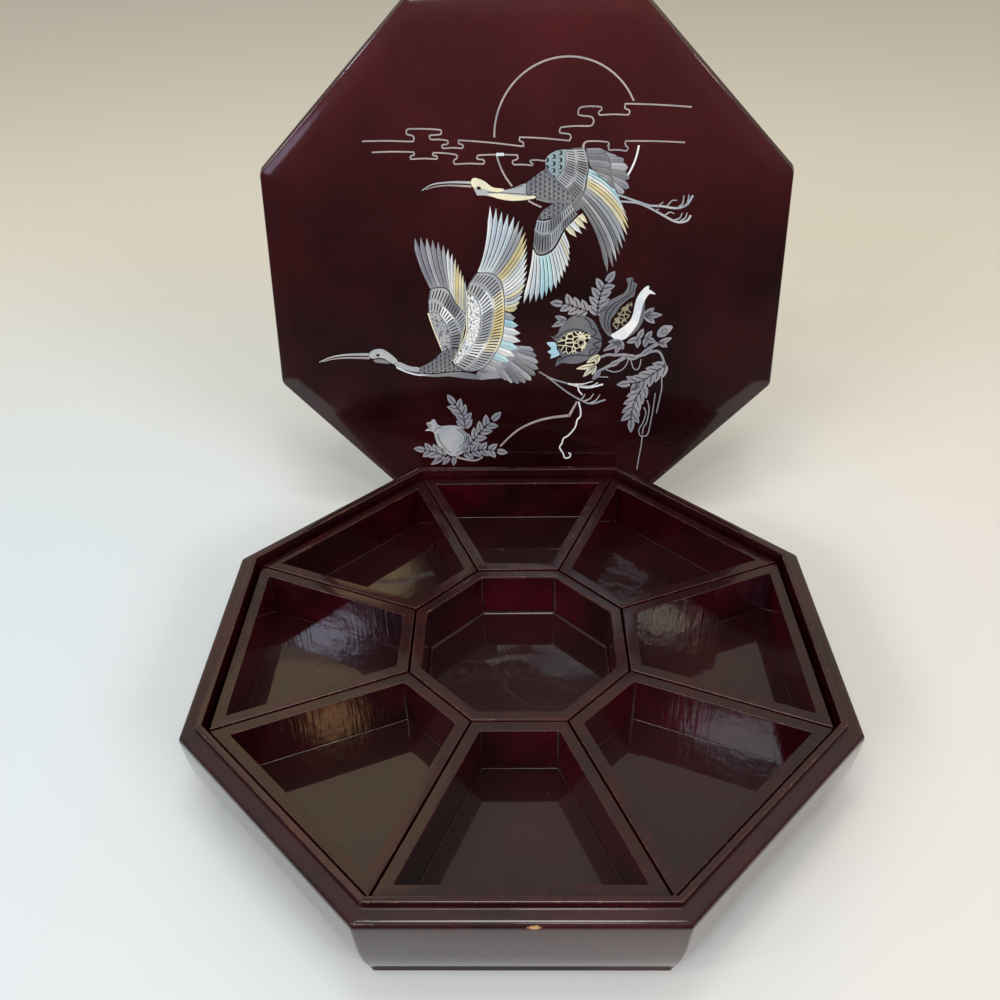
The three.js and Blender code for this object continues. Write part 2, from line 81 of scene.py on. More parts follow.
# Finishes


def srgb(hex_code: str) -> tuple[float, float, float, float]:
    """Turns an sRGB hex colour to linear.

    Args:
        hex_code: Colour such as "#3C0A15".

    Returns:
        Linear red, green, blue and an alpha of one.
    """
    values = [int(hex_code[i:i + 2], 16) / 255 for i in (1, 3, 5)]
    linear = [v / 12.92 if v <= 0.04045 else ((v + 0.055) / 1.055) ** 2.4 for v in values]
    return (*linear, 1.0)


def add_node(tree: bpy.types.NodeTree, kind: str, inputs: dict, output: int | str = 0,
             **settings: object) -> Socket:
    """Adds a node with its settings, values and links.

    Args:
        tree: Node tree of the material or world.
        kind: Node type without its prefix, such as "TexNoise".
        inputs: Input name or index to a value, or to the socket that feeds it.
        output: Name or index of the output that is wanted.
        settings: Properties of the node itself.

    Returns:
        The socket of that output.
    """
    node = tree.nodes.new("ShaderNode" + kind)
    for key, value in settings.items():
        setattr(node, key, value)
    for key, value in inputs.items():
        if isinstance(value, bpy.types.NodeSocket):
            tree.links.new(value, node.inputs[key])
        else:
            node.inputs[key].default_value = value
    return node.outputs[output]


def new_material(name: str) -> tuple[bpy.types.Material, bpy.types.NodeTree, bpy.types.Node]:
    """Starts a node material.

    Args:
        name: Name of the real material.

    Returns:
        The material, its node tree and its main shader.
    """
    material = bpy.data.materials.new(name)
    material.use_nodes = True
    tree = material.node_tree
    return material, tree, tree.nodes["Principled BSDF"]


@dataclass(frozen=True)
class Lacquer:
    """Brushed and rubbed red lacquer on wood."""

    name: str
    deep: str
    thin: str
    dust: float = 0.1
    dust_shade: str = "#B8ACA6"
    roughness: float = 0.3
    roughness_range: tuple[float, float] = (-0.06, 0.1)
    sheen_level: float = 0.1
    coat: float = 1.0
    coat_roughness: float = 0.04
    mottle_mm: float = 60.0
    streak_mm: float = 2.4
    streaks: float = 0.25
    speck_mm: float = 7.0
    speck_patch: float = 3.0
    ripple_mm: float = 14.0
    ripple: float = 0.1
    ripple_depth_mm: float = 0.5
    brush: float = 0.05
    brush_depth_mm: float = 0.1
    # Heights over which the colour is painted lighter towards the top.
    lit_thin_top_mm: tuple[float, float] | None = None
    lit_thin_top_by: float = 0.7
    wear: float = 0.0
    wear_mm: float = 2.5
    wear_shade: str = "#A9794E"
    chip_at_mm: tuple[float, float, float] | None = None
    chip_size_mm: float = 1.7
    chip_shape: tuple[float, float, float] = (0.4, 1.0, 1.2)
    chip_ragged_mm: float = 1.6
    chip_grain_mm: float = 10 / 7
    chip_blur: tuple[float, float] = (1.15, 0.95)
    chip_shade: str = "#B7905F"

    def material(self) -> bpy.types.Material:
        """Builds the node material.

        Returns:
            The lacquer.
        """
        # A clear film over dark red: near black in the shade, wine red in the light, and mirror-like.
        material, tree, shader = new_material(self.name)
        place = add_node(tree, "TexCoord", {}, "Object")
        mottle = add_node(tree, "TexNoise", {
            "Vector": place, "Scale": 1 / (self.mottle_mm * MM), "Detail": 4.0, "Roughness": 0.55})
        depth = add_node(tree, "MapRange", {"Value": mottle, "From Min": 0.36, "From Max": 0.68},
                         interpolation_type="SMOOTHSTEP")
        # Painted light: the colour turns lighter red with height, partly for a thinner film and partly for light
        # from above.
        if self.lit_thin_top_mm:
            height = add_node(tree, "SeparateXYZ", {"Vector": place}, "Z")
            low, high = (value * MM for value in self.lit_thin_top_mm)
            top_light = add_node(tree, "MapRange", {
                "Value": height, "From Min": low, "From Max": high, "To Max": self.lit_thin_top_by})
            depth = add_node(tree, "Math", {0: depth, 1: 1 - self.lit_thin_top_by, 2: top_light},
                             operation="MULTIPLY_ADD")
        colour = add_node(tree, "Mix", {0: depth, 6: srgb(self.deep), 7: srgb(self.thin)}, 2,
                          data_type="RGBA")
        # Brush strokes run up the boards and show as faint lines in the gloss.
        drawn = add_node(tree, "Mapping", {"Vector": place, "Scale": (1.0, 1.0, 0.12)})
        streak = add_node(tree, "TexNoise", {"Vector": drawn, "Scale": 1 / (self.streak_mm * MM),
                                             "Detail": 3.0})
        shade = add_node(tree, "MapRange", {"Value": streak, "From Min": 0.3, "From Max": 0.7,
                                            "To Min": 1 - self.streaks, "To Max": 1 + self.streaks})
        colour = add_node(tree, "Mix", {0: 1.0, 6: colour, 7: shade}, 2,
                          data_type="RGBA", blend_type="MULTIPLY")
        # Specks of dust lie here and there.
        grain = add_node(tree, "TexVoronoi", {"Vector": place, "Scale": 1 / (self.speck_mm * MM)})
        near = add_node(tree, "MapRange", {"Value": grain, "From Min": 0.055, "From Max": 0.03})
        sparse = add_node(tree, "TexNoise", {"Vector": place,
                                             "Scale": 1 / (self.speck_mm * self.speck_patch * MM)})
        reach = add_node(tree, "MapRange", {
            "Value": sparse, "From Min": 0.5, "From Max": 0.75, "To Max": self.dust})
        dusty = add_node(tree, "Math", {0: near, 1: reach}, operation="MULTIPLY")
        colour = add_node(tree, "Mix", {0: dusty, 6: colour, 7: srgb(self.dust_shade)}, 2, data_type="RGBA")
        if self.wear:
            fleck = add_node(tree, "TexNoise", {
                "Vector": place, "Scale": 1 / (self.wear_mm * MM), "Detail": 2.0})
            rubbed = add_node(tree, "MapRange", {
                "Value": fleck, "From Min": 0.6, "From Max": 0.7, "To Max": self.wear})
            colour = add_node(tree, "Mix", {0: rubbed, 6: colour, 7: srgb(self.wear_shade)}, 2,
                              data_type="RGBA")
        if self.chip_at_mm:
            colour = self.chipped(tree, place, colour)
        least, most = (self.roughness + change for change in self.roughness_range)
        rough = add_node(tree, "MapRange", {"Value": streak, "To Min": least, "To Max": most})
        wave = add_node(tree, "TexNoise", {"Vector": place, "Scale": 1 / (self.ripple_mm * MM),
                                           "Detail": 2.0})
        swell = add_node(tree, "Bump", {
            "Height": wave, "Strength": self.ripple, "Distance": self.ripple_depth_mm * MM})
        brushed = add_node(tree, "Bump", {"Height": streak, "Strength": self.brush,
                                          "Distance": self.brush_depth_mm * MM, "Normal": swell})
        tree.links.new(colour, shader.inputs["Base Color"])
        tree.links.new(rough, shader.inputs["Roughness"])
        tree.links.new(swell, shader.inputs["Normal"])
        tree.links.new(brushed, shader.inputs["Coat Normal"])
        shader.inputs["IOR"].default_value = 1.5
        shader.inputs["Specular IOR Level"].default_value = self.sheen_level
        shader.inputs["Coat Weight"].default_value = self.coat
        shader.inputs["Coat Roughness"].default_value = self.coat_roughness
        shader.inputs["Coat IOR"].default_value = 1.52
        return material

    def chipped(self, tree: bpy.types.NodeTree, place: Socket, colour: Socket) -> Socket:
        """Shows bare wood at the small chip on the rim.

        Args:
            tree: Node tree to work in.
            place: Socket with the object coordinates.
            colour: Socket with the lacquer's colour.

        Returns:
            Socket with the colour, tan on bare wood.
        """
        centre = tuple(value * MM for value in self.chip_at_mm)
        shifted = add_node(tree, "VectorMath", {0: place, 1: centre}, operation="SUBTRACT")
        shaped = add_node(tree, "VectorMath", {0: shifted, 1: self.chip_shape}, operation="MULTIPLY")
        away = add_node(tree, "VectorMath", {0: shaped}, "Value", operation="LENGTH")
        ragged = add_node(tree, "TexNoise", {"Vector": place, "Scale": 1 / (self.chip_grain_mm * MM)})
        edge = add_node(tree, "Math", {0: ragged, 1: self.chip_ragged_mm * MM, 2: away},
                        operation="MULTIPLY_ADD")
        outer, inner = (self.chip_size_mm * MM * share for share in self.chip_blur)
        bare = add_node(tree, "MapRange", {"Value": edge, "From Min": outer, "From Max": inner})
        return add_node(tree, "Mix", {0: bare, 6: colour, 7: srgb(self.chip_shade)}, 2, data_type="RGBA")


class Tint(Enum):
    """Colours that the shell shows, one to each plate as it was cut; they partly stand in for the sheen each
    plate catches, as painted sheen.
    """

    SILVER = "#B7BABD"
    GREY = "#87888B"
    SLATE = "#737479"
    WHITE = "#F3F6F6"
    CYAN = "#C2EAF0"
    MIST = "#DCE7EC"
    TEAL = "#9BB0B4"
    GOLD = "#EBDAA0"
    CREAM = "#EFE9C9"
    LILAC = "#9A99A0"
    WIRE = "#AFA3A1"
    OLIVE = "#A8A083"
    DARK = "#1E1113"

    @classmethod
    def row(cls, names: str) -> list["Tint"]:
        """Gives the tints of plates side by side, from their names with spaces between."""
        return [cls[name] for name in names.split()]


class Cut(Enum):
    """How a plate of shell is engraved."""

    PLAIN = "plain"
    BLADE = "blade"
    STROKES = "strokes"
    LEAF = "leaf"
    SCALES = "scales"
    PLUMES = "plumes"
    PEBBLES = "pebbles"
    NET = "net"


@dataclass(frozen=True)
class Shell:
    """Polished mother-of-pearl with engraved lines that are filled with dark lacquer, and a painted shade over
    one half of each feather.
    """

    tint: Tint
    cut: Cut
    cloud_mm: float = 16.0
    # Painted iridescent sheen: the plate's colour is multiplied between these two.
    cool: tuple[float, float, float, float] = (0.8, 0.84, 0.9, 1.0)
    warm: tuple[float, float, float, float] = (1.1, 1.08, 1.04, 1.0)
    scale_mm: float = 2.8
    plume_mm: float = 4.0
    pebble_mm: float = 2.1
    net_mm: float = 3.6
    patchiness: float = 1.4
    roughness: float = 0.3

    def material(self) -> bpy.types.Material:
        """Builds the node material.

        Returns:
            The shell. Its UV map runs across and along a plate, or over the face in centimetres.
        """
        # Nacre: a silky pale surface whose colour drifts at random between cool and warm over a plate, a painted
        # iridescent sheen.
        material, tree, shader = new_material(f"mother_of_pearl_{self.tint.name.lower()}_{self.cut.value}")
        place = add_node(tree, "TexCoord", {}, "Object")
        uv = add_node(tree, "TexCoord", {}, "UV")
        drift = add_node(tree, "TexNoise", {"Vector": place, "Scale": 1 / (self.cloud_mm * MM),
                                            "Detail": 3.0})
        painted_sheen_swing = add_node(tree, "MapRange", {"Value": drift, "From Min": 0.38, "From Max": 0.62})
        light = add_node(tree, "Mix", {0: painted_sheen_swing, 6: self.cool, 7: self.warm}, 2, data_type="RGBA")
        colour = add_node(tree, "Mix", {0: 1.0, 6: srgb(self.tint.value), 7: light}, 2,
                          data_type="RGBA", blend_type="MULTIPLY")
        # The engraved lines, and on a feather its painted shade, are mixed towards dark lacquer.
        lines = self.engraving(tree, uv)
        if lines:
            colour = add_node(tree, "Mix", {0: lines, 6: colour, 7: srgb(Tint.DARK.value)}, 2,
                              data_type="RGBA")
        tree.links.new(colour, shader.inputs["Base Color"])
        shader.inputs["Roughness"].default_value = self.roughness
        shader.inputs["IOR"].default_value = 1.6
        shader.inputs["Coat Weight"].default_value = 0.3
        shader.inputs["Coat Roughness"].default_value = 0.1
        return material

    def engraving(self, tree: bpy.types.NodeTree, uv: Socket) -> Socket | None:
        """Draws the lines of the cut, and a painted shade over one half of a feather.

        Args:
            tree: Node tree to work in.
            uv: Socket with the plate's own UV map.

        Returns:
            Socket that is one on a line and part way to one in a feather's painted shade, or None on a plain
            plate.
        """
        if self.cut is Cut.PLAIN:
            return None
        across = add_node(tree, "SeparateXYZ", {"Vector": uv}, "X")
        along = add_node(tree, "SeparateXYZ", {"Vector": uv}, "Y")
        if self.cut in (Cut.BLADE, Cut.LEAF):
            return self.rib(tree, across, along)
        if self.cut is Cut.STROKES:
            return self.strokes(tree, across, along)
        if self.cut in (Cut.SCALES, Cut.PLUMES):
            return self.scales(tree, across, along)
        spacing = self.net_mm if self.cut is Cut.NET else self.pebble_mm
        cells = add_node(tree, "TexVoronoi", {"Vector": uv, "Scale": MM_PER_CM / spacing,
                                              "Randomness": 0.8}, feature="DISTANCE_TO_EDGE")
        if self.cut is Cut.NET:
            return add_node(tree, "MapRange", {"Value": cells, "From Min": 0.05, "From Max": 0.1})
        lines = add_node(tree, "MapRange", {"Value": cells, "From Min": 0.1, "From Max": 0.03})
        patchy = add_node(tree, "TexNoise", {"Vector": uv, "Scale": self.patchiness * MM_PER_CM / spacing})
        kept = add_node(tree, "MapRange", {"Value": patchy, "From Min": 0.42, "From Max": 0.56})
        return add_node(tree, "Math", {0: lines, 1: kept}, operation="MULTIPLY")

    def rib(self, tree: bpy.types.NodeTree, across: Socket, along: Socket) -> Socket:
        """Draws the faint shaft of a feather with a painted shade over one half, or the dark rib of a leaf,
        which stops short of its tip.

        Args:
            tree: Node tree to work in.
            across: Socket with the place across the plate, from zero to one.
            along: Socket with the place along it.

        Returns:
            Socket that is one on the line, and part way to one in a feather's painted shade.
        """
        leaf = self.cut is Cut.LEAF
        side = add_node(tree, "Math", {0: across, 1: 0.5}, operation="SUBTRACT")
        away = add_node(tree, "Math", {0: side}, operation="ABSOLUTE")
        width = 0.1 if leaf else 0.07
        line = add_node(tree, "MapRange", {"Value": away, "From Min": width, "From Max": width * 0.5,
                                           "To Max": 0.9 if leaf else 0.5})
        if not leaf:
            # Painted shade: one half of the feather is darkened as if it fell away from the light.
            shade = add_node(tree, "MapRange", {
                "Value": across, "From Min": 0.4, "From Max": 1.0, "To Max": 0.34})
            return add_node(tree, "Math", {0: line, 1: shade}, operation="MAXIMUM")
        short = add_node(tree, "MapRange", {"Value": along, "From Min": 0.8, "From Max": 0.72})
        return add_node(tree, "Math", {0: line, 1: short}, operation="MULTIPLY")

    def strokes(self, tree: bpy.types.NodeTree, across: Socket, along: Socket) -> Socket:
        """Draws a row of strokes across a band, with a line along its outer edge.

        Args:
            tree: Node tree to work in.
            across: Socket with the place across the band, from zero to one.
            along: Socket with the place along it, one to each stroke.

        Returns:
            Socket that is one on a line.
        """
        step = add_node(tree, "Math", {0: along, 1: 1.0}, operation="PINGPONG")
        stroke = add_node(tree, "MapRange", {"Value": step, "From Min": 0.46, "From Max": 0.32})
        start = add_node(tree, "MapRange", {"Value": across, "From Min": 0.06, "From Max": 0.14})
        end = add_node(tree, "MapRange", {"Value": across, "From Min": 0.88, "From Max": 0.8})
        inside = add_node(tree, "Math", {0: start, 1: end}, operation="MULTIPLY")
        cut = add_node(tree, "Math", {0: stroke, 1: inside}, operation="MULTIPLY")
        border = add_node(tree, "MapRange", {
            "Value": across, "From Min": 0.955, "From Max": 0.985, "To Max": 0.7})
        return add_node(tree, "Math", {0: cut, 1: border}, operation="MAXIMUM")

    def scales(self, tree: bpy.types.NodeTree, across: Socket, along: Socket) -> Socket:
        """Draws rows of rounded scales, every other row set off by half a scale.

        Args:
            tree: Node tree to work in.
            across: Socket with the place over the face, in centimetres.
            along: Socket with the place up the face, in centimetres.

        Returns:
            Socket that is one on a line.
        """
        fit = MM_PER_CM / (self.plume_mm if self.cut is Cut.PLUMES else self.scale_mm)
        rows = add_node(tree, "Math", {0: across, 1: fit}, operation="MULTIPLY")
        row = add_node(tree, "Math", {0: rows}, operation="FLOOR")
        depth = add_node(tree, "Math", {0: rows, 1: row}, operation="SUBTRACT")
        shift = add_node(tree, "Math", {0: row, 1: 0.5}, operation="MULTIPLY")
        places = add_node(tree, "Math", {0: along, 1: fit, 2: shift}, operation="MULTIPLY_ADD")
        part = add_node(tree, "Math", {0: places, 1: 0.5}, operation="PINGPONG")
        bent = add_node(tree, "Math", {0: part, 1: 1.5}, operation="MULTIPLY")
        spot = add_node(tree, "CombineXYZ", {"X": depth, "Y": bent})
        reach = add_node(tree, "VectorMath", {0: spot}, "Value", operation="LENGTH")
        from_arc = add_node(tree, "Math", {0: reach, 1: 0.62}, operation="SUBTRACT")
        away = add_node(tree, "Math", {0: from_arc}, operation="ABSOLUTE")
        arc = add_node(tree, "MapRange", {"Value": away, "From Min": 0.19, "From Max": 0.1})
        apart = add_node(tree, "MapRange", {"Value": part, "From Min": 0.38, "From Max": 0.28})
        return add_node(tree, "Math", {0: arc, 1: apart}, operation="MULTIPLY")


class Finishes:
    """The finishes of the box, each made once."""

    def __init__(self) -> None:
        """Makes the lacquers and an empty shelf of shell."""
        # Wine red with a wet shine, and a chip on the front rim where bare wood shows.
        self.box = Lacquer("red_lacquer_on_box", "#20050A", "#340910",
                           chip_at_mm=(5.4, -164.8, 48.6)).material()
        # Nearly black behind the birds, and lighter red towards the top: painted light from above, partly a
        # thinner film.
        self.lid = Lacquer("red_lacquer_on_lid", "#1A0508", "#4C1519", streaks=0.06, coat_roughness=0.09,
                           mottle_mm=75.0, lit_thin_top_mm=(160.0, 325.0)).material()
        # A purer red with soft upright brush marks that pull the lamps' gloss into streaks.
        self.tray = Lacquer("red_lacquer_on_trays", "#1E0208", "#400512", dust=0.3, coat_roughness=0.1,
                            ripple=0.22, brush=0.6).material()
        # Rubbed satin by hands, so the tops of the trays' walls are duller and browner than the sides.
        self.top = Lacquer("rubbed_lacquer_on_tray_tops", "#20070A", "#300C0F", coat=0.85,
                           coat_roughness=0.09, mottle_mm=25.0).material()
        # The floors are a darker, browner red than the walls, with a little more dust.
        self.floor = Lacquer("deep_lacquer_on_tray_floors", "#20070A", "#2C0A0E", dust=0.35,
                             streaks=0.1).material()
        # Lighter and browner than the box along the arrises: painted highlight, partly rubbed-thin wear, with
        # tan flecks of bare wood.
        self.edge = Lacquer("thin_lacquer_on_edges", "#2E1012", "#44201E", dust=0.0, mottle_mm=12.0,
                            coat_roughness=0.16, wear=0.22).material()
        # Dull and brown where it meets the table.
        self.foot = Lacquer("dark_lacquer_on_foot", "#2A1614", "#3C2420", roughness=0.4,
                            coat=0.5).material()
        self.shells: dict[tuple[Tint, Cut], bpy.types.Material] = {}

    def shell(self, tint: Tint, cut: Cut) -> bpy.types.Material:
        """Gives the shell of one colour and engraving.

        Args:
            tint: Colour of the plate.
            cut: Engraving of the plate.

        Returns:
            The material, made on first use.
        """
        key = (tint, cut)
        if key not in self.shells:
            self.shells[key] = Shell(tint, cut).material()
        return self.shells[key]


# Modelling by hand


def begin(name: str) -> bpy.types.Object:
    """Names the active object and its mesh.

    Args:
        name: Name of the piece.

    Returns:
        The piece.
    """
    piece = bpy.context.object
    piece.name = name
    piece.data.name = name
    return piece


def deselect() -> None:
    """Leaves nothing selected."""
    bpy.ops.object.select_all(action="DESELECT")


def activate(piece: bpy.types.Object) -> None:
    """Selects one piece alone and makes it active.

    Args:
        piece: Piece to work on.
    """
    deselect()
    piece.select_set(True)
    bpy.context.view_layer.objects.active = piece


def select_edges(piece: bpy.types.Object, wanted: Callable[[bmesh.types.BMEdge], bool]) -> None:
    """Selects only the wanted edges of a piece.

    Args:
        piece: Piece in edit mode.
        wanted: Test of one edge.
    """
    bpy.ops.mesh.select_mode(type="EDGE")
    bpy.ops.mesh.select_all(action="DESELECT")
    mesh = bmesh.from_edit_mesh(piece.data)
    for edge in mesh.edges:
        if wanted(edge):
            edge.select = True
    mesh.select_flush_mode()
    bmesh.update_edit_mesh(piece.data)


def is_sharp(edge: bmesh.types.BMEdge, degrees: float) -> bool:
    """Tells whether an edge's two faces meet at more than an angle."""
    return len(edge.link_faces) == 2 and edge.calc_face_angle(0.0) > math.radians(degrees)


def is_corner(edge: bmesh.types.BMEdge) -> bool:
    """Tells whether an edge runs up one of the octagon's corners.

    Args:
        edge: Edge of a piece round the origin.

    Returns:
        True on a corner.
    """
    first, second = (math.atan2(vertex.co.y, vertex.co.x) for vertex in edge.verts)
    apart = abs(first - second)
    return is_sharp(edge, CORNER_DEGREES) and min(apart, 2 * math.pi - apart) < SAME_ANGLE


def soften(piece: bpy.types.Object) -> None:
    """Shades a piece smoothly while its broad faces stay flat.

    Args:
        piece: Piece in object mode.
    """
    activate(piece)
    bpy.ops.object.shade_smooth_by_angle(angle=math.radians(SMOOTH_DEGREES))
    modifier = piece.modifiers.new("flat_faces", "WEIGHTED_NORMAL")
    modifier.keep_sharp = True
    bpy.ops.object.modifier_apply(modifier=modifier.name)


class Slot(IntEnum):
    """Material slots of a tray. The base's wall has the first two."""

    WALL = 0
    EDGE = 1
    FLOOR = 2
    TOP = 3


def bevel_selected(width_mm: float, segments: int, slot: Slot | None = None) -> None:
    """Rounds the selected edges, and gives the new faces a material slot if one is named.

    Args:
        width_mm: Width of the rounding.
        segments: Steps of the rounding.
        slot: Material slot of the new faces.
    """
    bpy.ops.mesh.bevel(offset=width_mm * MM, segments=segments, affect="EDGES", clamp_overlap=True)
    if slot is not None:
        bpy.context.object.active_material_index = slot
        bpy.ops.object.material_slot_assign()


def octagon_turning(name: str, profile: Knots, closed: bool) -> bpy.types.Object:
    """Raises an octagon through a profile, loop by loop, and leaves the piece in edit mode.

    Args:
        name: Name of the piece.
        profile: Half width across flats and height of each loop, in millimetres.
        closed: True for a ring that closes on itself, False for a solid with a face at each end.

    Returns:
        The piece.
    """
    deselect()
    half, height = profile[0]
    bpy.ops.mesh.primitive_circle_add(
        vertices=SIDES, radius=half * MM / math.cos(HALF_TURN), fill_type="NOTHING",
        location=(0, 0, height * MM), rotation=(0, 0, HALF_TURN))
    piece = begin(name)
    bpy.ops.object.transform_apply(location=True, rotation=True, scale=True)
    bpy.ops.object.mode_set(mode="EDIT")
    bpy.ops.mesh.select_all(action="SELECT")
    for next_half, next_height in profile[1:]:
        rise = (next_height - height) * MM
        bpy.ops.mesh.extrude_edges_move(TRANSFORM_OT_translate={"value": (0, 0, rise)})
        grow = next_half / half
        bpy.ops.transform.resize(value=(grow, grow, 1), center_override=(0, 0, next_height * MM))
        half, height = next_half, next_height
    if closed:
        bpy.ops.mesh.select_all(action="DESELECT")
        bpy.ops.mesh.select_mode(type="EDGE")
        bpy.ops.mesh.select_non_manifold()
        bpy.ops.mesh.bridge_edge_loops()
    else:
        bpy.ops.mesh.select_all(action="SELECT")
        bpy.ops.mesh.fill_holes(sides=0)
    bpy.ops.mesh.select_all(action="SELECT")
    bpy.ops.mesh.normals_make_consistent(inside=False)
    return piece


def settle(piece: bpy.types.Object, body: str, slot: str, *nodes: str) -> None:
    """Hands a finished piece to the frame.

    Args:
        piece: Finished piece, at the origin.
        body: Body that it moves with.
        slot: Material slot of the record. It is not used.
        nodes: Plain solids that it stands for.
    """
    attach(piece, body)
    if nodes:
        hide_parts(*nodes)
    LOG.info("%s on %s", piece.name, body)


def curve_between(start: Point, bend: Point, end: Point, steps: int) -> list[Point]:
    """Gives points on a quadratic curve, with both ends.

    Args:
        start: First point.
        bend: Control point.
        end: Last point.
        steps: Number of steps.

    Returns:
        The points.
    """
    points = []
    for step in range(steps + 1):
        t = step / steps
        points.append(tuple((1 - t) ** 2 * a + 2 * t * (1 - t) * b + t * t * c
                            for a, b, c in zip(start, bend, end)))
    return points


# The base


@dataclass
class Base:
    """Eight mitred boards lacquered into one wall, on a foot board, with a ledge and a lip for the lid."""

    finishes: Finishes
    rim_half: float = 165.0
    ledge_height: float = 50.0
    ledge_width: float = 8.0
    lip_width: float = 3.2
    lip_height: float = 4.0
    rim_round: float = 3.0
    bottom: float = 6.1
    foot_inset: float = 7.5
    bulge: float = 6.0
    bulge_steps: int = 8
    shoulder_steps: int = 4
    corner_round: float = 0.8
    corner_steps: int = 3
    ledge_rise: float = 0.4
    ledge_fillet: float = 0.9
    fillet_steps: int = 3
    edge_round: float = 0.7
    edge_steps: int = 2
    edge_degrees: float = 50.0

    def profile(self) -> list[Point]:
        """Gives the wall's section, from its foot outside round to its foot inside.

        Returns:
            Half width across flats and height of each point, in millimetres.
        """
        rim, ledge = self.rim_half, self.ledge_height
        outer = rim - self.ledge_width
        inner = outer - self.lip_width
        foot = rim - self.foot_inset
        bow = curve_between((foot, self.bottom), (foot + self.bulge, self.bottom + 2 * self.bulge),
                            (rim, ledge - self.rim_round), self.bulge_steps)
        shoulder = curve_between((rim, ledge - self.rim_round), (rim, ledge), (rim - self.rim_round, ledge),
                                 self.shoulder_steps)
        root = ledge + self.ledge_rise
        fillet = curve_between((outer + self.ledge_fillet, root), (outer, root),
                               (outer, root + self.ledge_fillet), self.fillet_steps)
        lip = [(outer, ledge + self.lip_height), (inner, ledge + self.lip_height)]
        return bow + shoulder[1:] + fillet + lip + [(inner, self.bottom)]

    def build(self) -> None:
        """Models the wall and dresses the two boards under it."""
        wall = octagon_turning("base_wall", self.profile(), closed=True)
        for material in (self.finishes.box, self.finishes.edge):
            wall.data.materials.append(material)
        select_edges(wall, is_corner)
        bevel_selected(self.corner_round, self.corner_steps)
        # The rounded top edges take the edge lacquer, whose lighter colour is partly painted highlight.
        lip_top = (self.ledge_height + self.lip_height) * MM
        select_edges(wall, lambda edge: is_sharp(edge, self.edge_degrees)
                     and all(vertex.co.z > lip_top - MM for vertex in edge.verts))
        bevel_selected(self.edge_round, self.edge_steps, Slot.EDGE)
        bpy.ops.object.mode_set(mode="OBJECT")
        soften(wall)
        settle(wall, "base", "box_lacquer", *(f"base_wall_{i + 1}" for i in range(SIDES)))
        for node, material in (("base_floor", self.finishes.tray), ("foot_board", self.finishes.foot)):
            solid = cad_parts[node]
            solid.data.materials.clear()
            solid.data.materials.append(material)
            LOG.info("%s dressed", node)


# The trays


